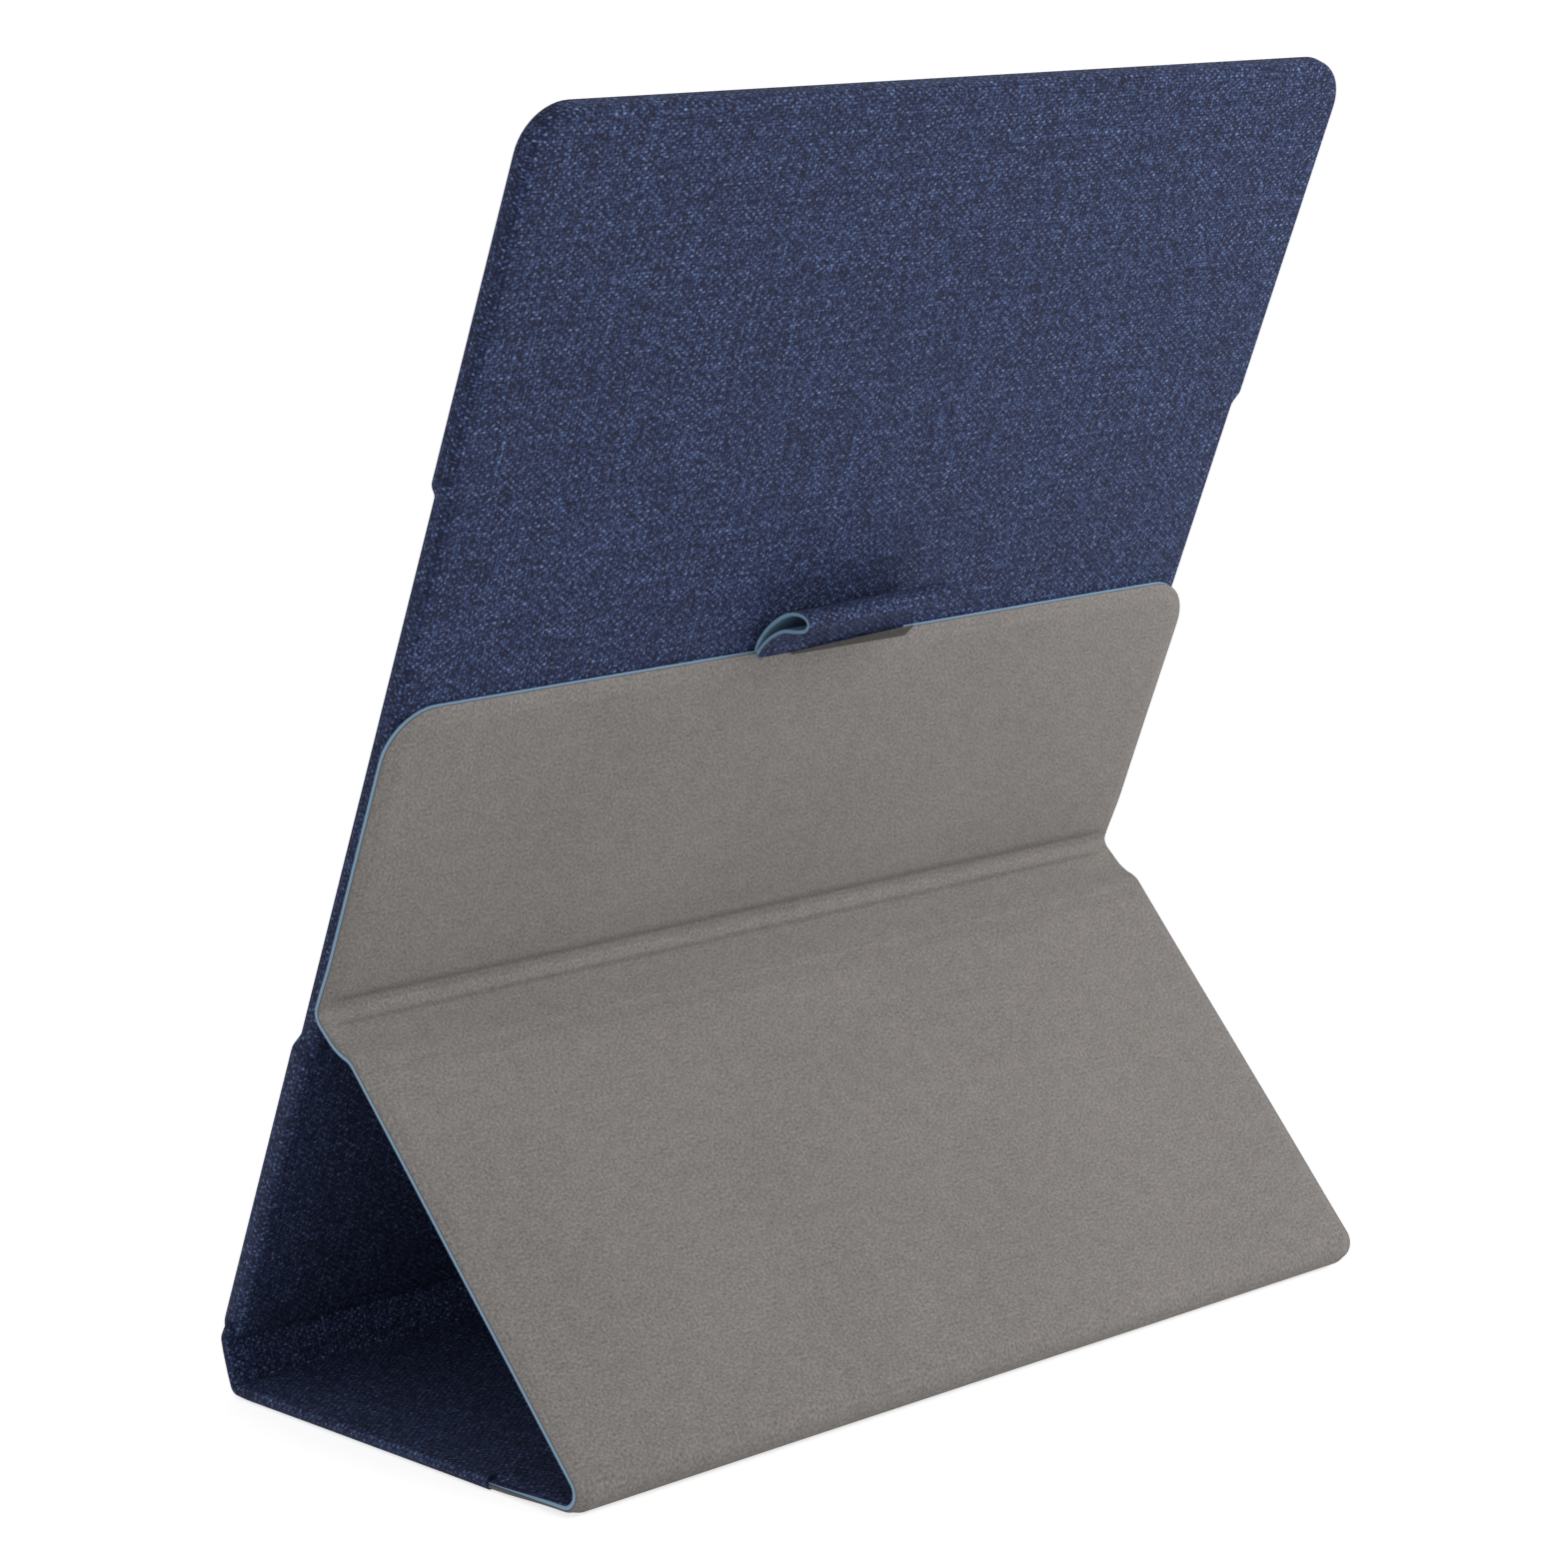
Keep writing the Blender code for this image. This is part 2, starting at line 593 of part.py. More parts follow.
def build_case():
    clear_scene()
    parts = lay_out()
    base = add_axis("base_axis", Vector((0.0, 0.0, 0.0)), 0.0, None)
    spine = add_axis("spine_axis", parts["spine_bend"].axis, SPINE_ANGLE, base)
    back = add_axis("back_axis", parts["back_bend"].axis, BACK_ANGLE, spine)
    strut = add_axis("strut_axis", parts["strut_bend"].axis, STRUT_ANGLE, base)
    fold = add_axis("fold_axis", parts["low_bend"].axis, parts["fold"].heading, strut)
    flap = add_axis("flap_axis", parts["high_bend"].axis, BACK_ANGLE, fold)

    make_base(parts, base)
    make_spine(parts, spine)
    make_back(parts, back)
    make_strut(parts, strut)
    make_fold(parts, fold)
    make_flap(parts, flap)

    bonded_low = LINING_MARGIN_IN - LINING_WALL
    fold_strip("spine_hinge", parts["spine_bend"], bonded_low, SKIN_OUT, BASE_WIDTH / 2, base)
    fold_strip("back_hinge", parts["back_bend"], bonded_low, SKIN_OUT, BASE_WIDTH / 2, spine)
    fold_strip("strut_hinge", parts["strut_bend"], bonded_low, SKIN_OUT, COVER_WIDTH / 2, base)
    fold_strip("low_crease", parts["low_bend"], bonded_low, SKIN_OUT, COVER_WIDTH / 2, strut)
    fold_strip("high_crease", parts["high_bend"], bonded_low, SKIN_OUT, COVER_WIDTH / 2, fold)

    bpy.context.view_layer.update()
    shown = [o for o in bpy.data.objects if o.type == "MESH" and not o.hide_render]
    depths = [(o.matrix_world @ Vector(corner)).y for o in shown for corner in o.bound_box]
    base.location.y = -(min(depths) + max(depths)) / 2
    bpy.context.view_layer.update()
    for holder in (spine, back, strut, fold, flap):
        place = holder.matrix_world.translation
        print(f"{holder.name} at y {place.y:.6f}, z {place.z:.6f}")
    print(f"base length {parts['base'].length:.5f}, {len(shown)} pieces")


build_case()
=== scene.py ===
# %% [markdown]
# # A folio case standing on its folded cover
# The case is a padded back panel, a narrow spine and one long laminated cover. The cover lies on the
# table as a base, rises behind as a strut, and its end rests on the back as a flap with a pen loop.
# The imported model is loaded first, because every size below is measured from it or repeats it.

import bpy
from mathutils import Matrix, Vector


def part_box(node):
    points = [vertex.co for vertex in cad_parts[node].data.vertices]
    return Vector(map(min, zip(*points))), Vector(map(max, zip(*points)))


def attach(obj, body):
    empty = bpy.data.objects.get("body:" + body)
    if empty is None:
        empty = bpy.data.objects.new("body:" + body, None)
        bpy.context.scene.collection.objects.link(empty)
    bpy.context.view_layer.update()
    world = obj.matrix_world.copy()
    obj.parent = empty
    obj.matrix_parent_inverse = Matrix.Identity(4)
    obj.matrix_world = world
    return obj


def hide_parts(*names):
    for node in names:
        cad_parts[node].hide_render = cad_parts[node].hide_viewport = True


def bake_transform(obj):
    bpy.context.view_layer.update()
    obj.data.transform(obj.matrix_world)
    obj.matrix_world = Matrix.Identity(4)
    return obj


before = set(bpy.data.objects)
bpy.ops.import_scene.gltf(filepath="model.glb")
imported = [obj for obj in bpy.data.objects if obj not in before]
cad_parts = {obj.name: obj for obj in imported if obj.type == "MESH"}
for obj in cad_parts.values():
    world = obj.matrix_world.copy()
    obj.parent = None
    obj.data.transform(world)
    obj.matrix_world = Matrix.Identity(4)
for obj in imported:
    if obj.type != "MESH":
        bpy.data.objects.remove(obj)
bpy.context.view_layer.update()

import math

import bmesh
import bpy
from mathutils import Matrix, Vector, noise

MM = 0.001

# %% [markdown]
# ## The line of the sheet
# Seen from the side, the case is one line that is flat in places and bent in others. A stretch is one
# such place. It can say where a point lies that is x across, s along and h above the middle of the
# sheet, counted towards the woven skin. It also knows how far along the unrolled sheet it is, so that
# the weave can run on from piece to piece without a break.

# %% Stretches of the sheet
class Stretch:
    """A flat or bent part of the sheet's line. Past its ends it runs on straight."""

    def __init__(self, start, heading, length, turn, skin_side, run, way):
        self.start = Vector(start)
        self.heading = heading
        self.length = length
        self.turn = turn
        self.skin_side = skin_side
        self.run = run
        self.way = way

    def along(self, s):
        share = min(max(s / self.length, 0.0), 1.0)
        angle = math.radians(self.heading + self.turn * share)
        return Vector((0.0, math.cos(angle), math.sin(angle)))

    def skinward(self, s):
        ahead = self.along(s)
        return Vector((0.0, -ahead.z, ahead.y)) * self.skin_side

    def middle(self, s):
        inside = min(max(s, 0.0), self.length)
        ahead = self.along(0.0)
        left = Vector((0.0, -ahead.z, ahead.y))
        if self.turn:
            radius = self.length / math.radians(self.turn)
            swept = inside / radius
            spot = ahead * radius * math.sin(swept) + left * radius * (1.0 - math.cos(swept))
        else:
            spot = ahead * inside
        return self.start + spot + self.along(s) * (s - inside)

    def at(self, x, s, h):
        return self.middle(s) + self.skinward(s) * h + Vector((x, 0.0, 0.0))

    def developed(self, s):
        """How far along the unrolled sheet a point lies: the base's front is zero."""
        return (self.run + s) * self.way


def lay_chain(start, heading, skin_side, way, steps):
    """Stretches laid end to end. A step is a name, a length and the angle that it turns."""
    chain = {}
    run = 0.0
    for name, length, turn in steps:
        made = Stretch(start, heading, length, turn, skin_side, run, way)
        chain[name] = made
        start = made.middle(length)
        heading += turn
        run += length
    return chain


def bend(radius, turn):
    return radius * math.radians(abs(turn)), turn


def arc(first, turn, steps):
    """Even steps over a turn. The angles come in degrees and leave in radians."""
    return [math.radians(first + turn * step / steps) for step in range(steps + 1)]


print("stretches can be laid")

# %% [markdown]
# The line runs both ways from the front of the base: up the spine and the back, and along the base,
# round the roll and up the strut. Above the strut's board the sheet has no stiffener, so it sags in
# before it turns up into the flap. How long that soft band is follows from the flap's place on the back.

# %% The case's own line
END_GAP = 0.15 * MM
MIDDLE_HEIGHT = 1.3 * MM
SPINE_ANGLE = 107.2
BACK_ANGLE = 68.9
STRUT_ANGLE = 132.0
SHOULDER_TURN = 32.2
SAG_TURN = -26.1
FOLD_RADIUS = 1.2 * MM
ROLL_RADIUS = 3.2 * MM
VALLEY_RADIUS = 2.3 * MM
FLAP_OFF_BACK = 3.1 * MM
FLAP_TOP = 127.38 * MM
TRIAL_LENGTH = 1.0 * MM
CREASE_ABOVE_VALLEY = 1.5 * MM
CREASE_SPACING = 4.7 * MM

BASE_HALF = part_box("base_skin")[1].x
COVER_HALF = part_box("strut_skin")[1].x
BACK_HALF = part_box("back_skin")[1].x
base_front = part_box("base_skin")[0].y - END_GAP
base_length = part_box("tail_skin")[1].y + END_GAP - base_front
origin = Vector((0.0, base_front, MIDDLE_HEIGHT))

line = lay_chain(origin, 180.0, -1, -1, [
    ("front", 0.59 * MM, 0.0),
    ("spine_bend", *bend(FOLD_RADIUS, SPINE_ANGLE - 180.0)),
    ("spine", 7.741 * MM, 0.0),
    ("back_bend", *bend(FOLD_RADIUS, BACK_ANGLE - SPINE_ANGLE)),
    ("heel", 0.451 * MM, 0.0),
    ("back", 233.9 * MM, 0.0),
])


def rear_line(band_length, flap_length):
    band_angle = STRUT_ANGLE + SHOULDER_TURN + SAG_TURN
    return lay_chain(origin, 0.0, 1, 1, [
        ("base", base_length, 0.0),
        ("roll", *bend(ROLL_RADIUS, STRUT_ANGLE)),
        ("strut", 80.7 * MM, 0.0),
        ("shoulder", 2.45 * MM, SHOULDER_TURN),
        ("sag", 4.5 * MM, SAG_TURN),
        ("band", band_length, 0.0),
        ("valley", *bend(VALLEY_RADIUS, BACK_ANGLE - band_angle)),
        ("flap", flap_length, 0.0),
    ])


back = line["back"]
outward = back.skinward(0.0)
trial = rear_line(TRIAL_LENGTH, TRIAL_LENGTH)
short_by = FLAP_OFF_BACK - (trial["flap"].start - back.start).dot(outward)
band_length = TRIAL_LENGTH + short_by / trial["band"].along(0.0).dot(outward)
flap_start = rear_line(band_length, TRIAL_LENGTH)["flap"].start
flap_length = FLAP_TOP - (flap_start - back.start).dot(back.along(0.0))
line.update(rear_line(band_length, flap_length))
flap = line["flap"]
valley = line["valley"]
upper_crease = flap.developed(CREASE_ABOVE_VALLEY)
lower_crease = upper_crease - CREASE_SPACING
print(f"base {base_length:.4f}, soft band {band_length:.4f}, flap {flap_length:.4f}")

# %% [markdown]
# ## The camera
# The camera stands behind and to one side of the case, a little above it, as in the photograph. Its
# place was found by fitting the case's straight edges, so it is written as an azimuth, an elevation
# and a distance from a point on the case, with the focal length in pixels of the photograph.

# %% Camera
PHOTO_WIDTH = 1569.0
FOCAL_PIXELS = 4811.6
AZIMUTH = math.radians(135.374)
ELEVATION = math.radians(11.555)
ROLL = math.radians(-0.018)
DISTANCE = 867.665 * MM
ASIDE = -8.418 * MM
ABOVE = 30.082 * MM
AIM = Vector((0.0, base_front + 46.6 * MM, 72.0 * MM))


def put_in_scene(name, data):
    made = bpy.data.objects.new(name, data)
    bpy.context.scene.collection.objects.link(made)
    return made


level = Vector((math.cos(AZIMUTH), math.sin(AZIMUTH), 0.0))
ahead = Vector((math.sin(AZIMUTH), -math.cos(AZIMUTH), 0.0))
toward = ahead * math.cos(ELEVATION) + Vector((0.0, 0.0, math.sin(ELEVATION)))
upright = toward.cross(level)
camera_x = level * math.cos(ROLL) + upright * math.sin(ROLL)
camera_y = upright * math.cos(ROLL) - level * math.sin(ROLL)
lens = bpy.data.cameras.new("camera")
lens.sensor_width = 36.0
lens.lens = FOCAL_PIXELS * lens.sensor_width / PHOTO_WIDTH
lens.clip_start = 0.01
camera = put_in_scene("camera", lens)
turned = Matrix((camera_x, camera_y, toward)).transposed().to_4x4()
spot = AIM + toward * DISTANCE + camera_x * ASIDE + camera_y * ABOVE
camera.matrix_world = Matrix.Translation(spot) @ turned
bpy.context.scene.camera = camera
print(f"lens {lens.lens:.1f} mm")

# %% [markdown]
# ## Building materials by code
# A material is a small network of nodes, and so is a Geometry Nodes group. This helper adds nodes to
# either: an input that is given a socket is linked, and one that is given anything else is set to it.

# %% Node helper
class Net:
    """A node tree with short ways to add nodes."""

    def __init__(self, tree):
        self.tree = tree

    def feed(self, node, inputs):
        for key, value in inputs.items():
            if isinstance(value, bpy.types.NodeSocket):
                self.tree.links.new(value, node.inputs[key])
            else:
                node.inputs[key].default_value = value

    def add(self, kind, inputs=None, **options):
        node = self.tree.nodes.new(kind)
        for name, value in options.items():
            setattr(node, name, value)
        self.feed(node, inputs or {})
        return node

    def get(self, kind, inputs=None, **options):
        """Adds a node and hands back its first output."""
        return self.add(kind, inputs, **options).outputs[0]

    def sums(self, operation, first, second=0.0, third=0.0):
        return self.get("ShaderNodeMath", {0: first, 1: second, 2: third}, operation=operation)

    def vectors(self, operation, inputs):
        return self.get("ShaderNodeVectorMath", inputs, operation=operation)

    def fade(self, value, low, high, first, last):
        """Goes smoothly from one result to the other while the value goes from low to high."""
        inputs = {0: value, 1: low, 2: high, 3: first, 4: last}
        return self.get("ShaderNodeMapRange", inputs, interpolation_type="SMOOTHSTEP")

    def noise(self, place, scale, detail, roughness=0.5):
        inputs = {"Vector": place, "Scale": scale, "Detail": detail, "Roughness": roughness}
        return self.add("ShaderNodeTexNoise", inputs).outputs["Fac"]

    def bump(self, height, strength, distance):
        return self.get("ShaderNodeBump", {"Height": height, "Strength": strength, "Distance": distance})

    def ramp(self, value, stops):
        """Turns a value into a colour. A stop is a value and a colour as seen on a screen."""
        node = self.add("ShaderNodeValToRGB", {"Fac": value})
        elements = node.color_ramp.elements
        while len(elements) < len(stops):
            elements.new(0.5)
        for element, (spot, colour) in zip(elements, stops):
            element.position = spot
            element.color = linear(*colour)
        return node.outputs["Color"]


print("node helper ready")

# %% [markdown]
# A group is a network with named sockets, so that other networks can use it. A material starts with
# one shader node, the Principled BSDF. Colours are written as they look on a screen.

# %% Groups, materials and colours
def linear(red, green, blue):
    """A colour as seen on a screen, from 0 to 255, turned into the linear values that shaders use."""
    steps = []
    for value in (red, green, blue):
        part = value / 255.0
        steps.append(part / 12.92 if part <= 0.04045 else ((part + 0.055) / 1.055) ** 2.4)
    return (*steps, 1.0)


def new_group(name, tree_kind, inputs, outputs):
    """An empty group: its net, the sockets that it is given, and the node that ends it."""
    tree = bpy.data.node_groups.new(name, tree_kind)
    for way, sockets in (("INPUT", inputs), ("OUTPUT", outputs)):
        for socket, kind in sockets.items():
            tree.interface.new_socket(socket, in_out=way, socket_type="NodeSocket" + kind)
    return Net(tree), tree.nodes.new("NodeGroupInput").outputs, tree.nodes.new("NodeGroupOutput")


def new_material(name):
    material = bpy.data.materials.new(name)
    material.use_nodes = True
    return material, Net(material.node_tree), material.node_tree.nodes["Principled BSDF"]


print("groups, materials and colours ready")

# %% [markdown]
# ## The heathered weave
# The skin is a plain weave: threads cross over and under each other like a chessboard. On each square
# either the thread that runs across or the one that runs along lies on top. Each thread is a little
# lighter or darker than those beside it, in short flecks and in long streaks along its length, and
# the fibres add a fine grain. The group takes a place on the unrolled sheet, in metres, and hands on
# the shade, the shade of the threads that run along, and a height that is lowest between threads.

# %% Weave group
WIDER_ACROSS = 1.45
THREAD_STEP = 5.3
STAND_OUT = 0.18
FLECKS = 0.28
WEFT_STREAKS = 0.52
WARP_STREAKS = 0.58
WEFT_DRIFTS = (0.4, 0.02)
WARP_DRIFTS = (0.25, 0.015)
LOWER_SHOWS = 0.22
WARP_DARKER = -0.13
GRAIN = 0.46


def thread_shade(net, along, drift, number, seed):
    """How much lighter or darker a thread is than those beside it. It drifts along the thread."""
    spot = net.sums("MULTIPLY", along, drift)
    shade = 0.0
    for beside, weight in ((0.0, 1.0), (-1.0, -STAND_OUT), (1.0, -STAND_OUT)):
        own = net.sums("MULTIPLY_ADD", number, THREAD_STEP, beside * THREAD_STEP)
        place = net.get("ShaderNodeCombineXYZ", {"X": spot, "Y": own, "Z": seed})
        cloud = net.sums("SUBTRACT", net.noise(place, scale=1.0, detail=3.0, roughness=0.65), 0.5)
        shade = net.sums("MULTIPLY_ADD", cloud, weight, shade)
    return shade


def heathered(net, along, number, seed, drifts, streaks):
    """The shade of one set of threads: short flecks on long streaks."""
    short_part = thread_shade(net, along, drifts[0], number, seed)
    long_part = thread_shade(net, along, drifts[1], number, seed + 20.0)
    return net.sums("MULTIPLY_ADD", short_part, FLECKS, net.sums("MULTIPLY", long_part, streaks))


def make_weave():
    inputs = {"Place": "Vector", "Pitch": "Float"}
    outputs = {"Shade": "Float", "Warp": "Float", "Height": "Float"}
    net, given, result = new_group("heathered_weave", "ShaderNodeTree", inputs, outputs)
    split = net.add("ShaderNodeSeparateXYZ", {0: given["Place"]}).outputs
    across = net.sums("DIVIDE", split["X"], net.sums("MULTIPLY", given["Pitch"], WIDER_ACROSS))
    along = net.sums("DIVIDE", split["Y"], given["Pitch"])
    column = net.sums("FLOOR", across)
    row = net.sums("FLOOR", along)
    warp_up = net.sums("FLOORED_MODULO", net.sums("ADD", column, row), 2.0)
    weft = heathered(net, across, row, 0.0, WEFT_DRIFTS, WEFT_STREAKS)
    warp = heathered(net, along, column, 40.0, WARP_DRIFTS, WARP_STREAKS)
    fine_x = net.sums("FLOOR", net.sums("MULTIPLY", across, 2.0))
    fine_y = net.sums("FLOOR", net.sums("MULTIPLY", along, 1.5))
    square = net.get("ShaderNodeCombineXYZ", {"X": fine_x, "Y": fine_y})
    fibre = net.get("ShaderNodeTexWhiteNoise", {"Vector": square}, noise_dimensions="2D")
    share = net.sums("MULTIPLY_ADD", warp_up, 1.0 - 2.0 * LOWER_SHOWS, LOWER_SHOWS)
    shade = net.get("ShaderNodeMix", {"Factor": share, "A": weft, "B": warp})
    shade = net.sums("MULTIPLY_ADD", warp_up, WARP_DARKER, shade)
    shade = net.sums("MULTIPLY_ADD", net.sums("SUBTRACT", fibre, 0.5), GRAIN, shade)
    crown_x = net.sums("SINE", net.sums("MULTIPLY", net.sums("FRACT", across), math.pi))
    crown_y = net.sums("SINE", net.sums("MULTIPLY", net.sums("FRACT", along), math.pi))
    crown = net.sums("SQRT", net.sums("MULTIPLY", crown_x, crown_y))
    net.feed(result, {"Shade": shade, "Warp": warp, "Height": crown})
    return net.tree


weave = make_weave()
print("weave group:", len(weave.nodes), "nodes")

# %% [markdown]
# The woven skin reads that group through the piece's own map of the unrolled sheet. A ramp turns the
# thread's shade into a dark, a middle or a light blue, a second ramp tints some threads warmer and some
# cooler, the dips between threads get painted shade, and a wide cloud makes a faint mottling.

# %% Woven skin
CLOTH_MAP = "cloth"
THREAD_PITCH = 0.57 * MM


def woven(net, pitch):
    """The place on the unrolled sheet, and the weave there."""
    place = net.get("ShaderNodeUVMap", uv_map=CLOTH_MAP)
    return place, net.add("ShaderNodeGroup", {"Place": place, "Pitch": pitch}, node_tree=weave).outputs


def make_skin():
    material, net, shader = new_material("woven_skin")
    place, threads = woven(net, THREAD_PITCH)
    mottle = net.noise(place, scale=300.0, detail=3.0, roughness=0.6)
    shade = net.sums("MULTIPLY_ADD", threads["Shade"], 1.04, 0.476)
    shade = net.sums("MULTIPLY_ADD", mottle, 0.04, shade)
    blue = net.ramp(shade, [(0.14, (14, 18, 39)), (0.40, (35, 43, 74)), (0.62, (68, 82, 120)),
                            (0.88, (130, 151, 190))])
    cast = net.ramp(net.sums("ADD", threads["Warp"], 0.5),
                    [(0.34, (255, 238, 236)), (0.5, (246, 248, 255)), (0.66, (232, 250, 255))])
    tinted = net.vectors("MULTIPLY", {0: blue, 1: cast})
    # Painted shade: the colour is darker in the dips between threads.
    dip_shade = net.sums("MULTIPLY_ADD", threads["Height"], 1.05, 0.28)
    net.feed(shader, {
        "Base Color": net.vectors("SCALE", {0: tinted, "Scale": dip_shade}),
        "Normal": net.bump(threads["Height"], strength=0.6, distance=0.15 * MM),
        "Roughness": 0.8, "Specular IOR Level": 0.25})
    return material


skin = make_skin()
print("made", skin.name)

# %% [markdown]
# ## The lining
# The lining is a suede-like microfibre: no threads show, only a short nap that lies a little
# differently from spot to spot. Fine noise gives the nap and wide clouds the faint patches. Along the
# two creases the colour is darkened as painted shade, except close to the cut edges. A darker copy
# of the same suede is painted shade on the lip beside the pen loop, which lies under the loop.

# %% Suede lining
NAP_GRAIN = 1900.0
CREASE_SHADE = 0.2


def make_nap():
    inputs = {"Place": "Vector", "Grain": "Float"}
    outputs = {"Shade": "Float", "Height": "Float"}
    net, given, result = new_group("short_nap", "ShaderNodeTree", inputs, outputs)
    fine = net.noise(given["Place"], given["Grain"], detail=3.0)
    patch = net.noise(given["Place"], scale=300.0, detail=2.0)
    broad = net.noise(given["Place"], scale=28.0, detail=2.0)
    mixed = net.sums("MULTIPLY_ADD", fine, 0.76, net.sums("MULTIPLY", patch, 0.14))
    net.feed(result, {"Shade": net.sums("MULTIPLY_ADD", broad, 0.10, mixed), "Height": fine})
    return net.tree


nap = make_nap()


def make_lining(name, dark, light):
    material, net, shader = new_material(name)
    place = net.get("ShaderNodeUVMap", uv_map=CLOTH_MAP)
    pile = net.add("ShaderNodeGroup", {"Place": place, "Grain": NAP_GRAIN}, node_tree=nap).outputs
    grey = net.ramp(pile["Shade"], [(0.30, dark), (0.70, light)])
    split = net.add("ShaderNodeSeparateXYZ", {0: place}).outputs
    aside = net.sums("ABSOLUTE", split["X"])
    inside = net.fade(aside, COVER_HALF - 6.0 * MM, COVER_HALF - 2.0 * MM, 1.0, 0.0)
    crease_shading = 1.0
    # Painted shade: the colour is darker along the two creases, fading out close to the cut edges.
    for crease in (upper_crease, lower_crease):
        away = net.sums("ABSOLUTE", net.sums("SUBTRACT", split["Y"], crease))
        near_crease = net.fade(away, 0.1 * MM, 0.95 * MM, CREASE_SHADE, 0.0)
        crease_shading = net.sums("SUBTRACT", crease_shading, net.sums("MULTIPLY", near_crease, inside))
    net.feed(shader, {
        "Base Color": net.vectors("SCALE", {0: grey, "Scale": crease_shading}),
        "Normal": net.bump(pile["Height"], strength=0.25, distance=0.08 * MM),
        "Roughness": 0.95, "Specular IOR Level": 0.15, "Sheen Weight": 0.08, "Sheen Roughness": 0.6})
    return material


lining = make_lining("suede_lining", (100, 96, 93), (152, 147, 143))
# A darker copy of the suede: painted shade for the lip that lies under the pen loop.
lip_shade_lining = make_lining("lip_shaded_suede", (48, 46, 44), (88, 85, 82))
print("made", lining.name, lip_shade_lining.name)

# %% [markdown]
# ## The cut edges
# Where the cover is cut flush, the layers show: a thin line of navy, the pale blue core of the skin,
# a dark line of glue, and the grey lining. Each sheet carries a depth from 0 on its outer side to 1
# on its glued side, and the ramp on that depth paints the layers.

# %% Cut edges
DEPTH = "depth"
RAGGED = 0.24


def make_cut_edge(name, stops, grain):
    material, net, shader = new_material(name)
    depth = net.add("ShaderNodeAttribute", attribute_name=DEPTH).outputs["Fac"]
    place = net.add("ShaderNodeTexCoord").outputs["Object"]
    ragged = net.sums("MULTIPLY_ADD", net.noise(place, grain, detail=2.0), RAGGED, -RAGGED / 2.0)
    colour = net.ramp(net.sums("ADD", depth, ragged), stops)
    net.feed(shader, {"Base Color": colour, "Roughness": 0.85, "Specular IOR Level": 0.2})
    return material


skin_edge = make_cut_edge("cut_skin", [
    (0.04, (60, 72, 104)), (0.16, (140, 172, 198)), (0.9, (152, 182, 205)), (1.0, (120, 146, 168))], 2200.0)
lining_edge = make_cut_edge("cut_lining", [
    (0.2, (128, 122, 118)), (0.55, (104, 108, 114)), (0.8, (84, 96, 112)), (1.0, (78, 92, 110))], 2200.0)
loop_edge = make_cut_edge("cut_loop", [(0.0, (132, 166, 192)), (0.1, (168, 198, 222))], 2600.0)
print("made", skin_edge.name, lining_edge.name, loop_edge.name)

# %% [markdown]
# ## Turning points into pieces
# Two kinds of body are needed. The first is a loft: a row of closed rings with walls between them and a
# face over both ends. Every body is finished in the same way: its faces are turned outwards, and edges
# that are sharper than some angle stay sharp when the rest is shaded smooth.

# %% Lofts
def finish_piece(name, shape, materials, sharp=35.0):
    """Turns a bmesh into an object whose faces point outwards."""
    bmesh.ops.recalc_face_normals(shape, faces=shape.faces)
    mesh = bpy.data.meshes.new(name)
    shape.to_mesh(mesh)
    shape.free()
    for material in materials:
        mesh.materials.append(material)
    mesh.shade_smooth()
    mesh.set_sharp_from_angle(angle=math.radians(sharp))
    piece = put_in_scene(name, mesh)
    print(f"{name}: {len(mesh.vertices)} points")
    return piece


def loft(name, rings, materials):
    """A closed body through rings of points. Each side of a ring has two map places and a material."""
    shape = bmesh.new()
    mapped = shape.loops.layers.uv.new(CLOTH_MAP)

    def add_face(corners, spots, kind):
        face = shape.faces.new(corners)
        face.material_index = kind
        for loop, spot in zip(face.loops, spots):
            loop[mapped].uv = spot

    rows = [([shape.verts.new(point) for point in points], sides) for points, sides in rings]
    for (lower, low_sides), (upper, high_sides) in zip(rows, rows[1:]):
        for index, (low, high) in enumerate(zip(low_sides, high_sides)):
            after = (index + 1) % len(lower)
            corners = (lower[index], lower[after], upper[after], upper[index])
            add_face(corners, (low[0], low[1], high[1], high[0]), low[2])
    for ring, sides in (rows[0], rows[-1]):
        add_face(ring, [side[0] for side in sides], 0)
    return finish_piece(name, shape, materials)


def plain_sides(spots):
    """The sides of a ring whose map places follow its points."""
    return [(spot, after, 0) for spot, after in zip(spots, spots[1:] + spots[:1])]


print("loft builder ready")

# %% [markdown]
# The second kind is a sheet: a grid of points for its outer side and a second grid for its glued side,
# joined round the rim, which gives one closed body with cut edges.

# %% Sheets
class Sheet:
    """A closed sheet under construction: an outer and a glued side with the same spots."""

    def __init__(self):
        self.shape = bmesh.new()
        self.map = self.shape.loops.layers.uv.new(CLOTH_MAP)
        self.depth = self.shape.verts.layers.float.new(DEPTH)
        self.spot = {}
        self.under = {}

    def add(self, outer, inner, place):
        top = self.shape.verts.new(outer)
        below = self.shape.verts.new(inner)
        top[self.depth] = 0.0
        below[self.depth] = 1.0
        self.spot[top] = self.spot[below] = place
        self.under[top] = below
        return top

    def quads(self, rows):
        for lower, upper in zip(rows, rows[1:]):
            for index in range(len(lower) - 1):
                corners = (lower[index], lower[index + 1], upper[index + 1], upper[index])
                self.shape.faces.new(corners)
                self.shape.faces.new([self.under[corner] for corner in reversed(corners)])

    def close(self, name, materials, slot):
        """Joins the two sides round the rim with cut-edge faces and finishes the piece."""
        rims = [edge for edge in self.shape.edges if len(edge.link_faces) == 1]
        for edge in [rim for rim in rims if rim.verts[0] in self.under]:
            first, second = edge.verts
            cut = self.shape.faces.new((first, second, self.under[second], self.under[first]))
            cut.material_index = 1
        for face in self.shape.faces:
            for loop in face.loops:
                loop[self.map].uv = self.spot[loop.vert]
        return finish_piece(name, self.shape, materials)


print("sheet builder ready")

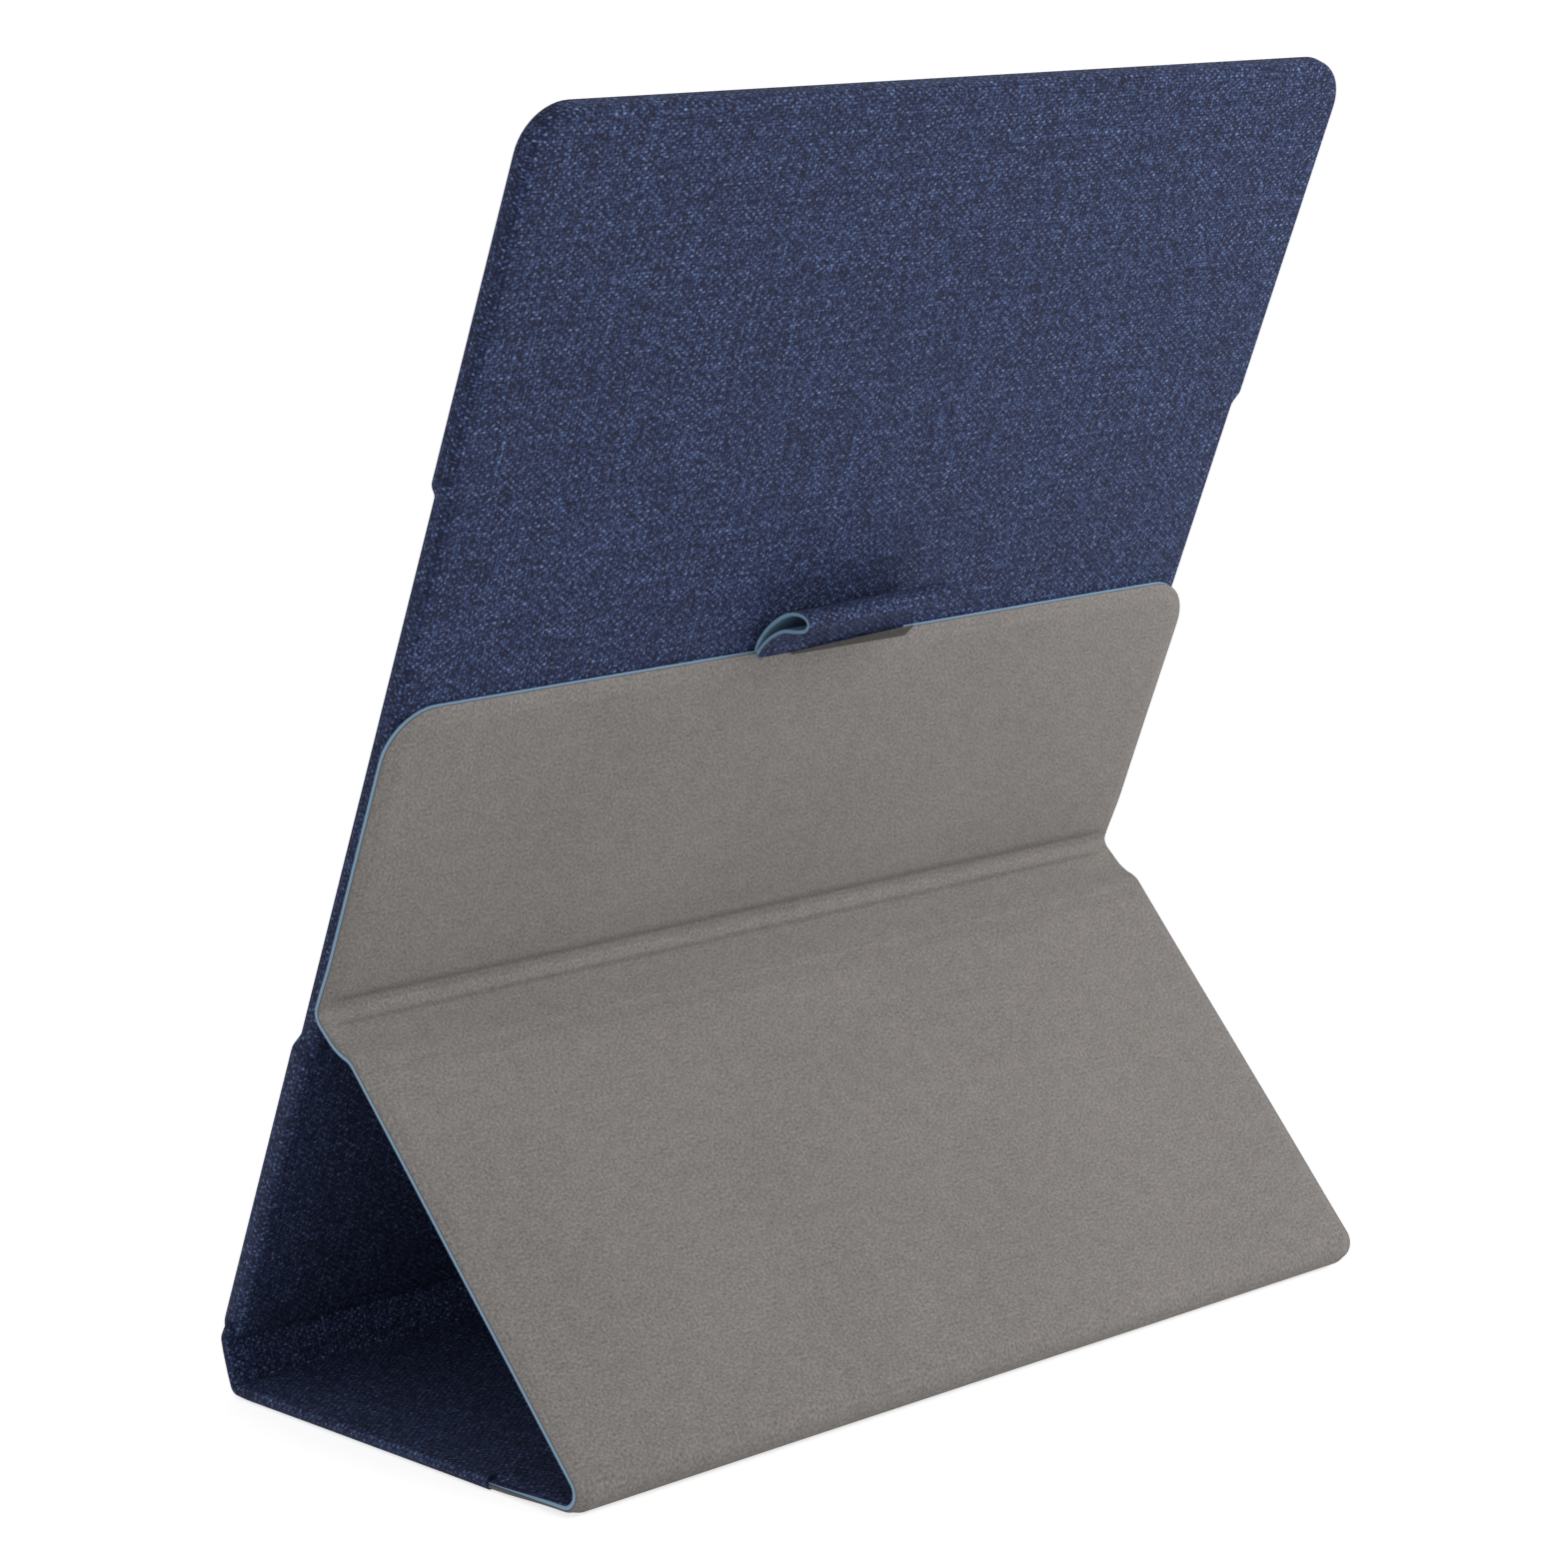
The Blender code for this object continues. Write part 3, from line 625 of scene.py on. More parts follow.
# %% [markdown]
# ## How the cover's layers lie
# Under the lining are boards that stop short of the cut edge, one in the strut and one in the flap. They
# end in smooth slopes. Small slow waves keep the sheet from looking machined.

# %% Boards and waves
WAVE = 0.12 * MM


def ease(low, high, value):
    """0 below low, 1 above high and a smooth step between."""
    share = min(max((value - low) / (high - low), 0.0), 1.0)
    return share * share * (3.0 - 2.0 * share)


def ripple(x, run):
    """Slow waves of a tenth of a millimetre over the sheet."""
    return noise.noise(Vector((x * 22.0, run * 30.0, 3.7))) * WAVE


def between(value, first, last, fade_in, fade_out):
    """1 between two places and 0 outside them, with smooth slopes just inside."""
    return ease(first, first + fade_in, value) * (1.0 - ease(last - fade_out, last, value))


def bump_at(value, centre, width):
    return math.exp(-((value - centre) / width) ** 2)


BOARDS = [
    (base_length - 6.0 * MM, line["strut"].developed(80.2 * MM), 9.0 * MM, 3.5 * MM),
    (flap.developed(0.9 * MM), flap.developed(flap.length + 5.0 * MM), 2.6 * MM, 1.0 * MM),
]


def board_under(edge, run):
    """1 over a board and 0 where the sheet has none."""
    return max(between(run, *board) for board in BOARDS) * ease(0.5 * MM, 3.0 * MM, edge)


print(len(BOARDS), "boards under the cover")

# %% [markdown]
# The lining is pressed down round the boards, which leaves a thin groove just inside the flap's edge,
# and it is pressed to a line at both creases. Its cut edge is rounded, and so is the skin's. Skin and
# lining are glued face to face, with a hair's breadth between them.

# %% Heights of the layers
SKIN_FACE = 1.0 * MM
SKIN_LIFT = 0.15 * MM
SKIN_ROUND = 0.12 * MM
LINING_FACE = -0.45 * MM
LINING_SINK = 0.83 * MM
LINING_ROUND = 0.3 * MM
BOARD_LIFT = 0.6 * MM
BOND_LINE = 0.1 * MM
BOND_GAP = 0.02 * MM
GROOVE = 0.07 * MM


def lining_face(x, edge, run):
    height = LINING_FACE - BOARD_LIFT * board_under(edge, run)
    height += LINING_ROUND * (1.0 - ease(0.0, 0.7 * MM, edge)) ** 2
    if run > flap.run:
        height += GROOVE * bump_at(edge, 2.3 * MM, 0.3 * MM)
    near_crease = bump_at(run, upper_crease, 0.42 * MM) + bump_at(run, lower_crease, 0.5 * MM)
    height += GROOVE * near_crease * ease(2.0 * MM, 5.0 * MM, edge)
    return height + ripple(x, run)


def lining_bond(x, edge, run):
    return BOND_LINE - BOND_GAP - LINING_SINK * board_under(edge, run) + ripple(x, run)


def skin_face(x, edge, run):
    return SKIN_FACE - SKIN_ROUND * (1.0 - ease(0.0, 0.3 * MM, edge)) + ripple(x, run)


def skin_bond(x, edge, run):
    return BOND_LINE + BOND_GAP + SKIN_LIFT * board_under(edge, run) + ripple(x, run)


print("creases at", round(lower_crease, 4), "and", round(upper_crease, 4))

# %% [markdown]
# The sheet as a whole does not keep to its line everywhere. Its tail droops to the table at both cut
# edges, the valley below the flap bulges, and the soft band sags fully at its cut edges and less
# between them.

# %% How the sheet settles
TURNED_LENGTH = 66.0 * MM
TAIL_LIFT = 0.05 * MM
TAIL_DROOP = 0.8 * MM
TAIL_PINCH = 0.6 * MM
VALLEY_BULGE = 0.45 * MM
STRAIGHTENED = 0.85

soft_start = line["shoulder"].start
soft_way = (valley.start - soft_start).normalized()


def tail_edge(s, edge):
    """1 at both cut edges where the tail starts, fading along the tail and inwards."""
    return (1.0 - ease(TURNED_LENGTH, base_length, s)) * (1.0 - ease(0.0, 3.0 * MM, edge))


def settle(stretch, s, edge):
    """How far the whole sheet moves from its line: it droops, bows and straightens in places."""
    if stretch is line["base"]:
        return TAIL_LIFT * (1.0 - ease(TURNED_LENGTH, base_length, s)) - TAIL_DROOP * tail_edge(s, edge)
    if stretch is valley:
        return VALLEY_BULGE * ease(0.0, stretch.length, s)
    if stretch is flap:
        return VALLEY_BULGE * (1.0 - ease(0.0, 10.0 * MM, s))
    if stretch in (line["shoulder"], line["sag"], line["band"]):
        off = stretch.middle(s) - soft_start
        off -= soft_way * off.dot(soft_way)
        return -off.dot(stretch.skinward(s)) * STRAIGHTENED * ease(1.0 * MM, 16.0 * MM, edge)
    return 0.0


def pinch(stretch, s, edge):
    """At the tail's start the glue line rises, so the pale cut edge begins as a thin line."""
    return TAIL_PINCH * tail_edge(s, edge) if stretch is line["base"] else 0.0


print(f"the tail starts at {TURNED_LENGTH:.3f}")

# %% [markdown]
# A strip of the cover is laid on stations along the line. Near both cut edges the points are close
# together, so that the groove and the rounded edge are real shapes. The flap also has round corners:
# there each row of points turns round the corner, and a last block fills the straight upper edge.

# %% Builder of a strip
EDGE_INSETS = [d * MM for d in (0.0, 0.12, 0.3, 0.6, 1.1, 1.6, 2.0, 2.3, 2.6, 3.1, 3.8, 4.8, 6.0)]
DEEPEST = EDGE_INSETS[-1]
INNER_HALF = COVER_HALF - DEEPEST
INNER_STEPS = 40
CORNER_STEPS = 12


def inner_places(half):
    return [-half + 2.0 * half * step / INNER_STEPS for step in range(1, INNER_STEPS)]


def row_places():
    """Places across a row, with their distance from the edge: close together near both edges."""
    left = [(-COVER_HALF + edge, edge) for edge in EDGE_INSETS]
    middle = [(x, COVER_HALF - abs(x)) for x in inner_places(INNER_HALF)]
    return left + middle + [(-x, edge) for x, edge in reversed(left)]


def cover_strip(name, stations, layer, corner=None, notch=None):
    """One closed strip of skin or lining over stations of (stretch, s). A notch lowers the upper edge."""
    face, bond, materials, slot = layer
    sheet = Sheet()

    def point(stretch, x, s, edge):
        run = stretch.developed(s)
        lift = settle(stretch, s, edge)
        outer = stretch.at(x, s, face(x, edge, run) + lift)
        inner = stretch.at(x, s, bond(x, edge, run) + lift + pinch(stretch, s, edge))
        return sheet.add(outer, inner, (x, run))

    def turned_row(angle):
        row = []
        for x, edge in row_places():
            reach = corner - min(edge, DEEPEST)
            limit = COVER_HALF - corner + reach * math.cos(angle)
            s = flap.length - corner + reach * math.sin(angle)
            if edge <= DEEPEST:
                row.append(point(flap, math.copysign(limit, x), s, edge))
            else:
                wide = x / INNER_HALF * limit
                row.append(point(flap, wide, s, min(COVER_HALF - abs(wide), flap.length - s)))
        return row

    def fill_top(last):
        below = last[len(EDGE_INSETS) - 1:len(last) - len(EDGE_INSETS) + 1]
        for index in reversed(range(len(EDGE_INSETS) - 1)):
            edge = EDGE_INSETS[index]
            row = [last[index]]
            for x in inner_places(COVER_HALF - corner):
                lowered = notch(x) * (1.0 - ease(0.0, DEEPEST, edge)) if notch else 0.0
                row.append(point(flap, x, flap.length - edge - lowered, edge))
            row.append(last[len(last) - 1 - index])
            sheet.quads([below, row])
            below = row

    rows = [[point(stretch, x, s, edge) for x, edge in row_places()] for stretch, s in stations]
    if corner:
        rows += [turned_row(angle) for angle in arc(0.0, 90.0, CORNER_STEPS)[1:]]
    sheet.quads(rows)
    if corner:
        fill_top(rows[-1])
    return sheet.close(name, materials, slot)


def even(name, first, last, steps):
    """Evenly spaced stations on one stretch."""
    return [(line[name], first + (last - first) * step / steps) for step in range(steps + 1)]


def whole(name, steps):
    return even(name, 0.0, line[name].length, steps)


print("a row has", len(row_places()), "points on each side")

# %% [markdown]
# The cover is cut into three lengths, each with one fold: tail, roll and strut; the soft band with its
# first crease; and the flap. Each length has a skin and a lining. The flap's lining is cut a little
# lower where the pen loop's lip will stand up behind it.

# %% Lengths of the cover
FLAP_CORNER = 9.7 * MM
LIP_START = 8.5 * MM
LIP_END = -20.6 * MM
LIP_STEP = 0.75 * MM
LIP_FADES = (1.5 * MM, 10.5 * MM)
SKIN_LAYER = (skin_face, skin_bond, [skin, skin_edge], "skin")
LINING_LAYER = (lining_face, lining_bond, [lining, lining_edge], "lining")


def lip_notch(x):
    return LIP_STEP * between(x, LIP_END - LIP_FADES[0], LIP_START, *LIP_FADES)


roll = line["roll"]
strut = line["strut"]
half_valley = valley.length / 2
lower_stations = even("base", TURNED_LENGTH - 1.0 * MM, base_length, 8)[:-1] + whole("roll", 16)
lower_stations += even("strut", 0.8 * MM, 77.0 * MM, 46) + even("strut", 77.5 * MM, strut.length, 8)
crease_stations = whole("shoulder", 6)[:-1] + whole("sag", 8)[:-1] + whole("band", 12)[:-1]
crease_stations += even("valley", 0.0, half_valley, 6)
flap_stations = even("valley", half_valley, valley.length, 6)[:-1] + even("flap", 0.0, 6.0 * MM, 20)
flap_stations += even("flap", 8.0 * MM, flap.length - FLAP_CORNER, 20)
lower_run = strut.developed(strut.length) - line["base"].developed(TURNED_LENGTH)
crease_run = valley.developed(half_valley) - line["shoulder"].developed(0.0)
flap_run = flap.developed(flap.length) - valley.developed(half_valley)
print(f"cover runs: {lower_run:.4f}, {crease_run:.4f}, {flap_run:.4f}")

# %% [markdown]
# Each strip crosses one fold. Each is built where the case stands, its transform is baked into its
# points, and the imported parts that it replaces are hidden.

# %% Make the strips
mid_valley = valley.middle(half_valley)
lower = (lower_stations, lower_run, "base", "strut", roll.middle(0.0), roll.middle(roll.length))
crease = (crease_stations, crease_run, "strut", "fold", line["band"].middle(0.0), mid_valley)
upper = (flap_stations, flap_run, "fold", "flap", mid_valley, flap.middle(3.0 * MM))
strips = [
    ("lower_skin", SKIN_LAYER, lower, (), ("tail_skin", "strut_hinge", "strut_skin")),
    ("lower_lining", LINING_LAYER, lower, (), ("tail_lining", "strut_lining")),
    ("crease_skin", SKIN_LAYER, crease, (), ("low_crease", "fold_skin")),
    ("crease_lining", LINING_LAYER, crease, (), ("fold_lining",)),
    ("flap_cloth", SKIN_LAYER, upper, (FLAP_CORNER,), ("high_crease", "flap_skin")),
    ("flap_suede", LINING_LAYER, upper, (FLAP_CORNER, lip_notch), ("flap_lining",)),
]
for name, layer, (stations, run, *fold), cut, nodes in strips:
    piece = cover_strip(name, stations, layer, *cut)
    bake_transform(piece)
    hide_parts(*nodes)

# %% [markdown]
# ## Bands with turned edges
# On the base and the spine the skin is turned round the side edges, so those stretches end in a soft
# round edge of woven skin and not in a cut. Each is a closed tube: skin on top, round both sides and
# a little way under, and lining between. It is a little thinner in the folds, where it has no board.

# %% Turned bands
TURN_STEPS = 8
TURNED_HEM = 8.0 * MM
UNDER_BOARD = -1.3 * MM
THIN_FOLD = -1.1 * MM
FRONT_JOIN = 2.5 * MM
FOLD_STEPS = 10


def band_ring(stretch, s, bottom):
    """Points round a band, and the map places and the material of each side between two of them."""
    radius = (SKIN_FACE - bottom) / 2.0
    centre = (SKIN_FACE + bottom) / 2.0
    reach = BASE_HALF - radius
    hem = BASE_HALF - TURNED_HEM
    run = stretch.developed(s)
    right = [(reach + radius * math.cos(angle), centre + radius * math.sin(angle))
             for angle in arc(90.0, -180.0, TURN_STEPS)]
    left = [(-x, h) for x, h in reversed(right)]
    swept = math.pi * radius
    spots = [reach + swept * step / TURN_STEPS for step in range(TURN_STEPS + 1)]
    spots.append(swept + 2.0 * reach - hem)
    turned_in = [(first, second, 0) for first, second in zip(spots, spots[1:])]
    turned_out = [(-second, -first, 0) for first, second, _ in reversed(turned_in)]
    sides = turned_in + [(hem, -hem, 1)] + turned_out + [(-reach, reach, 0)]
    sides = [((first, run), (second, run), kind) for first, second, kind in sides]
    points = right + [(hem, bottom), (-hem, bottom)] + left
    return [stretch.at(x, s, h + ripple(x, run)) for x, h in points], sides


def turned_band(name, stations):
    """A closed band over stations of (stretch, s, height of its underside)."""
    return loft(name, [band_ring(*station) for station in stations], [skin, lining])


def stations_on(stretch, places):
    return [(stretch, s, bottom) for s, bottom in places]


spine_bend = line["spine_bend"]
back_bend = line["back_bend"]
spine = line["spine"]
base_places = [FRONT_JOIN] + [s * MM for s in range(5, 66, 4)] + [TURNED_LENGTH]
base_band = turned_band("base_cover", [(line["base"], s, UNDER_BOARD) for s in base_places])

front_places = [(-FRONT_JOIN - line["front"].length, UNDER_BOARD), (-1.8 * MM, -1.26 * MM)]
front_places += [(-1.0 * MM, -1.18 * MM), (0.0, THIN_FOLD)]
front_places += [(spine_bend.length * step / FOLD_STEPS, THIN_FOLD) for step in range(1, FOLD_STEPS)]
spine_places = [(0.0, THIN_FOLD), (0.8 * MM, -1.18 * MM)]
spine_places += [(1.5 * MM, -1.26 * MM), (2.2 * MM, UNDER_BOARD)]
half_spine = [(spine.length / 2, UNDER_BOARD)]
front_band = turned_band(
    "spine_front",
    stations_on(spine_bend, front_places) + stations_on(spine, spine_places + half_spine))

rear_places = [(spine.length - s, bottom) for s, bottom in reversed(spine_places)]
fold_places = [(back_bend.length * step / FOLD_STEPS, THIN_FOLD) for step in range(1, FOLD_STEPS + 1)]
foot_places = [(0.6 * MM, -1.0 * MM), (1.4 * MM, -0.85 * MM), (2.2 * MM, -0.7 * MM)]
rear_band = turned_band(
    "spine_rear",
    stations_on(spine, half_spine + rear_places) + stations_on(back_bend, fold_places)
    + stations_on(back, foot_places))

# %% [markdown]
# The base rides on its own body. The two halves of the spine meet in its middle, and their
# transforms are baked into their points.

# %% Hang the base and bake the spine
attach(base_band, "base")
spine_bend.middle(0.0)
spine.middle(0.0)
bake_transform(front_band)
spine.middle(spine.length)
back.middle(0.0)
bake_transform(rear_band)
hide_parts("base_skin")
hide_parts("spine_skin", "spine_hinge")
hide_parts("spine_lining", "back_hinge")
print(f"turned skin is cut {2.0 * BASE_HALF + 2.0 * TURNED_HEM:.3f} wide")

# %% [markdown]
# ## The padded back
# The back is a board under thin foam, with the skin drawn round the edge and glued on the tablet
# side. It is lofted through rings, each a copy of one outline drawn in by some distance. Both long
# sides of the outline are drawn in a little between the corners, as in the photograph.

# %% Outline of the back
BACK_CORNER = 9.0 * MM
FOOT_CORNER = 0.8 * MM
FOOT_GAP = -0.7 * MM
FOOT_SLOPE = 1.15
SLOPE_FACE = -1.0 * MM
SMALLEST_CORNER = 0.05 * MM
RECESS_DEPTH = 1.4 * MM
RECESS_SLOPE = 3.0 * MM
SLOPE_STEPS = 8
RECESS_LOW = 58.3 * MM
RECESS_HIGH = 167.1 * MM


def recess(s):
    """How far a long side is drawn in at one height."""
    return RECESS_DEPTH * between(s, RECESS_LOW, RECESS_HIGH, RECESS_SLOPE, RECESS_SLOPE)


def side_heights():
    """Heights along a long side, close together on both slopes of the recess."""
    rise = [RECESS_SLOPE * step / SLOPE_STEPS for step in range(-2, SLOPE_STEPS + 3)]
    return [RECESS_LOW + step for step in rise] + [RECESS_HIGH - step for step in reversed(rise)]


def back_outline(inset, height=0.0):
    """The back's outline as (x, s) points, drawn in by a distance. Its foot slopes on the tablet side."""
    half = BACK_HALF - inset
    low = FOOT_GAP + inset + FOOT_SLOPE * max(0.0, SLOPE_FACE - height)
    high = back.length - inset

    def corner(x_sign, s_sign, first):
        radius = max((FOOT_CORNER if s_sign < 0 else BACK_CORNER) - inset, SMALLEST_CORNER)
        centre_x = x_sign * (half - radius)
        centre_s = low + radius if s_sign < 0 else high - radius
        return [(centre_x + radius * math.cos(angle), centre_s + radius * math.sin(angle))
                for angle in arc(first, 90.0, CORNER_STEPS)]

    right = [(half - recess(s), s) for s in side_heights()]
    left = [(-x, s) for x, s in reversed(right)]
    points = corner(1.0, -1.0, -90.0) + right + corner(1.0, 1.0, 0.0)
    return points + corner(-1.0, 1.0, 90.0) + left + corner(-1.0, -1.0, 180.0)


def ring_piece(name, rings, material):
    """A closed body through rings of (inset, height, inset on the map)."""
    rows = []
    for inset, height, spot_inset in rings:
        spots = [(x, back.developed(s)) for x, s in back_outline(spot_inset)]
        points = [back.at(x, s, height) for x, s in back_outline(inset, height)]
        rows.append((points, plain_sides(spots)))
    return loft(name, rows, [material])


print("outline of the back:", len(back_outline(0.0)), "points")

# %% [markdown]
# From the middle of the face outwards, the rings fall a little to make a slight crown, go round the
# rim in two quarter turns, and end in a hem on the tablet side. The map of the weave is spread round
# the rim with the skin, so the threads keep their width there.

# %% Padded back
FACE_RINGS = [(30.0, 2.0), (14.0, 1.995), (8.0, 1.97), (5.0, 1.92), (3.4, 1.86)]
RIM_FACE = 1.8 * MM
RIM_RADIUS = 1.8 * MM
RIM_STEPS = 8
HEM_FACE = -3.2 * MM
HEM_WIDTH = 9.0 * MM
HEM_TUCK = 0.3 * MM
HEM_DEPTH = 0.45 * MM


def back_rings():
    rings = [(inset * MM, height * MM, inset * MM) for inset, height in FACE_RINGS]
    outer_centre = RIM_FACE - RIM_RADIUS
    inner_centre = HEM_FACE + RIM_RADIUS
    quarter = RIM_RADIUS * math.pi / 2
    inner_start = RIM_RADIUS - quarter - (outer_centre - inner_centre)
    for centre, first, start in ((outer_centre, 90.0, RIM_RADIUS), (inner_centre, 0.0, inner_start)):
        for step, angle in enumerate(arc(first, -90.0, RIM_STEPS)):
            inset = RIM_RADIUS * (1.0 - math.cos(angle))
            rings.append((inset, centre + RIM_RADIUS * math.sin(angle), start - quarter * step / RIM_STEPS))
    last_spot = rings[-1][2]
    rings.append((HEM_WIDTH, HEM_FACE, last_spot - (HEM_WIDTH - RIM_RADIUS)))
    rings.append((HEM_WIDTH + HEM_TUCK, HEM_FACE + HEM_DEPTH, last_spot - HEM_WIDTH))
    return rings


back_cover = ring_piece("back_cover", back_rings(), skin)
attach(back_cover, "back")
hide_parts("back_skin")

# %% [markdown]
# ## The linings that lie flat
# The tablet side of the back is faced with a flat panel of the same suede, pressed on over the hem,
# with a soft rounded rim. It is lofted on the back's outline like the skin.

# %% Lining of the tablet side
BACK_LINING_INSET = 3.0 * MM
FLAT_INSET = 6.0 * MM
GLUED_FACE = -3.25 * MM
FREE_FACE = -3.8 * MM
SOFT_RIM = 0.6 * MM
SOFT_STEPS = 6


def pressed_rings(inset):
    """Rings of a flat panel whose free side has a soft rim."""
    rings = [(inset + 0.1 * MM, GLUED_FACE, inset)]
    for angle in arc(0.0, 90.0, SOFT_STEPS):
        height = GLUED_FACE + (FREE_FACE - GLUED_FACE) * math.sin(angle)
        spot = inset + SOFT_RIM * (1.0 - math.sin(angle))
        rings.append((inset + SOFT_RIM * (1.0 - math.cos(angle)), height, spot))
    rings.append((inset + FLAT_INSET, FREE_FACE, inset + FLAT_INSET))
    return rings


back_lining = ring_piece("back_suede", pressed_rings(BACK_LINING_INSET), lining)
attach(back_lining, "back")
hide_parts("back_lining")

# %% [markdown]
# The underside of the base has a panel too, between the two hems of the turned skin. Nobody sees it
# while the case stands, so four rings with square corners are enough.

# %% Lining under the base
BASE_LINING_START = 1.0 * MM
PANEL_TOP = -0.8 * MM
PANEL_RINGS = [(0.0, PANEL_TOP), (0.0, PANEL_TOP - 0.2 * MM), (0.15 * MM, UNDER_BOARD + 0.08 * MM),
               (0.5 * MM, UNDER_BOARD)]

base_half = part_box("base_lining")[1].x
panel = []
for inset, height in PANEL_RINGS:
    half = base_half - inset
    low = BASE_LINING_START + inset
    high = TURNED_LENGTH - inset
    corners = ((-half, low), (half, low), (half, high), (-half, high))
    ring = [line["base"].at(x, s, height) for x, s in corners]
    panel.append((ring, plain_sides([(point.x, point.y - base_front) for point in ring])))
base_lining = loft("base_suede", panel, [lining])
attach(base_lining, "base")
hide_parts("base_lining")

# %% [markdown]
# ## Sweeping an outline
# The pen loop and the elastic bands are both one outline drawn along a straight path, so one Geometry
# Nodes group makes them. It also writes the map of the weave from the lengths along the path and round
# the outline, and gives one material to the first half of the outline, one to the half that comes back
# and one to the flat ends.

# %% Sweep by Geometry Nodes
SWEEP_STEPS = 25
FACING_END = 0.8
SWEEP_INPUTS = {"Geometry": "Geometry", "Start": "Vector", "End": "Vector", "Half": "Float",
                "Side": "Material", "Reverse": "Material", "Cut": "Material"}


def measured(net, curve):
    """Passes a curve on together with the length from its start to each of its points."""
    kept = net.tree.nodes.new("GeometryNodeCaptureAttribute")
    kept.capture_items.new("FLOAT", "Length")
    length = net.add("GeometryNodeSplineParameter").outputs["Length"]
    net.feed(kept, {"Geometry": curve, "Length": length})
    return kept.outputs["Geometry"], kept.outputs["Length"]


def make_sweep():
    net, given, result = new_group("sweep", "GeometryNodeTree", SWEEP_INPUTS, {"Geometry": "Geometry"})
    outline = net.get("GeometryNodeMeshToCurve", {"Mesh": given["Geometry"]})
    path = net.get("GeometryNodeCurvePrimitiveLine", {"Start": given["Start"], "End": given["End"]})
    path = net.get("GeometryNodeResampleCurve", {"Curve": path, "Count": SWEEP_STEPS})
    outline, around = measured(net, outline)
    path, along = measured(net, path)
    body = net.get("GeometryNodeCurveToMesh", {"Curve": path, "Profile Curve": outline, "Fill Caps": True})
    spot = net.get("ShaderNodeCombineXYZ", {"X": along, "Y": around})
    body = net.get("GeometryNodeStoreNamedAttribute", {"Geometry": body, "Name": CLOTH_MAP, "Value": spot},
                   data_type="FLOAT2", domain="CORNER")
    way = net.vectors("NORMALIZE", {0: net.vectors("SUBTRACT", {0: given["End"], 1: given["Start"]})})
    facing = {0: net.get("GeometryNodeInputNormal"), 1: way}
    facing = net.add("ShaderNodeVectorMath", facing, operation="DOT_PRODUCT").outputs["Value"]
    returning = net.sums("GREATER_THAN", around, given["Half"])
    at_end = net.sums("GREATER_THAN", net.sums("ABSOLUTE", facing), FACING_END)
    for name, chosen in (("Side", True), ("Reverse", returning), ("Cut", at_end)):
        inputs = {"Geometry": body, "Selection": chosen, "Material": given[name]}
        body = net.get("GeometryNodeSetMaterial", inputs)
    net.feed(result, {"Geometry": body})
    return net.tree


sweep = make_sweep()
print("sweep group:", len(sweep.nodes), "nodes")

# %% [markdown]
# A group runs as a modifier on an object that carries its input. The result is copied out as a plain
# mesh, material slots that hold nothing are dropped, and the carrier is removed again.

# %% Run a group
def run_group(name, mesh, tree, values):
    """Gives a mesh to a Geometry Nodes group and keeps the result as a plain object."""
    carrier = put_in_scene(name + "_carrier", mesh)
    modifier = carrier.modifiers.new("nodes", "NODES")
    modifier.node_group = tree
    for item in tree.interface.items_tree:
        if item.in_out == "INPUT" and item.name in values:
            modifier[item.identifier] = values[item.name]
    graph = bpy.context.evaluated_depsgraph_get()
    result = carrier.evaluated_get(graph)
    made = bpy.data.meshes.new_from_object(result, preserve_all_data_layers=True, depsgraph=graph)
    bpy.data.objects.remove(carrier)
    for index in reversed(range(len(made.materials))):
        if made.materials[index] is None:
            made.materials.pop(index=index)
    shape = bmesh.new()
    shape.from_mesh(made)
    return finish_piece(name, shape, list(made.materials), sharp=40.0)


print("groups can be run")

# %% [markdown]
# ## The pen loop
# The loop is a strip of the skin folded over itself. Both ends are held between the layers of the
# flap's upper edge, and the strip leans out over the lining, so from the side it is a drop shape. The
# drop's middle line is a smooth curve through a few points, written as how far out from the flap and
# how far above its edge each one lies, in millimetres.

# %% Outline of the pen loop
LOOP_WALL = 0.6 * MM
DROP_STEPS = 5
DROP = [(-0.2, -2.0), (-0.25, 0.2), (-0.1, 2.2), (1.3, 5.7), (3.8, 9.2), (6.3, 11.1), (8.7, 11.7),
        (10.1, 11.0), (9.7, 9.5), (7.6, 8.2), (4.9, 6.9), (2.8, 4.8), (1.25, 2.4), (0.4, 0.2), (0.15, -2.0)]


def smooth_line(points, steps):
    """A Catmull-Rom curve through the points."""
    spots = [Vector(point) for point in points]
    spots = [spots[0] * 2.0 - spots[1]] + spots + [spots[-1] * 2.0 - spots[-2]]
    curve = []
    for index in range(1, len(spots) - 2):
        before, first, second, after = spots[index - 1:index + 3]
        for step in range(steps):
            t = step / steps
            curve.append(0.5 * (2.0 * first + (second - before) * t
                                + (2.0 * before - 5.0 * first + 4.0 * second - after) * t * t
                                + (3.0 * first - before - 3.0 * second + after) * t ** 3))
    return curve + [spots[-2]]


def thicken(curve, wall):
    """A closed outline round a line: one side there, the other side back."""
    there = []
    back_again = []
    for index, spot in enumerate(curve):
        ahead = curve[min(index + 1, len(curve) - 1)] - curve[max(index - 1, 0)]
        side = Vector((-ahead.y, ahead.x)).normalized() * wall / 2.0
        there.append(spot + side)
        back_again.append(spot - side)
    return there + back_again[::-1]


def half_round(points):
    return sum((after - spot).length for spot, after in zip(points, points[1:])) / 2.0


drop = thicken(smooth_line([(out * MM, up * MM) for out, up in DROP], DROP_STEPS), LOOP_WALL)

# %% [markdown]
# The outline is laid square to the path and swept. The path climbs a little, because the far end was
# sewn higher. The inner side and the flat ends show the pale core of the skin.

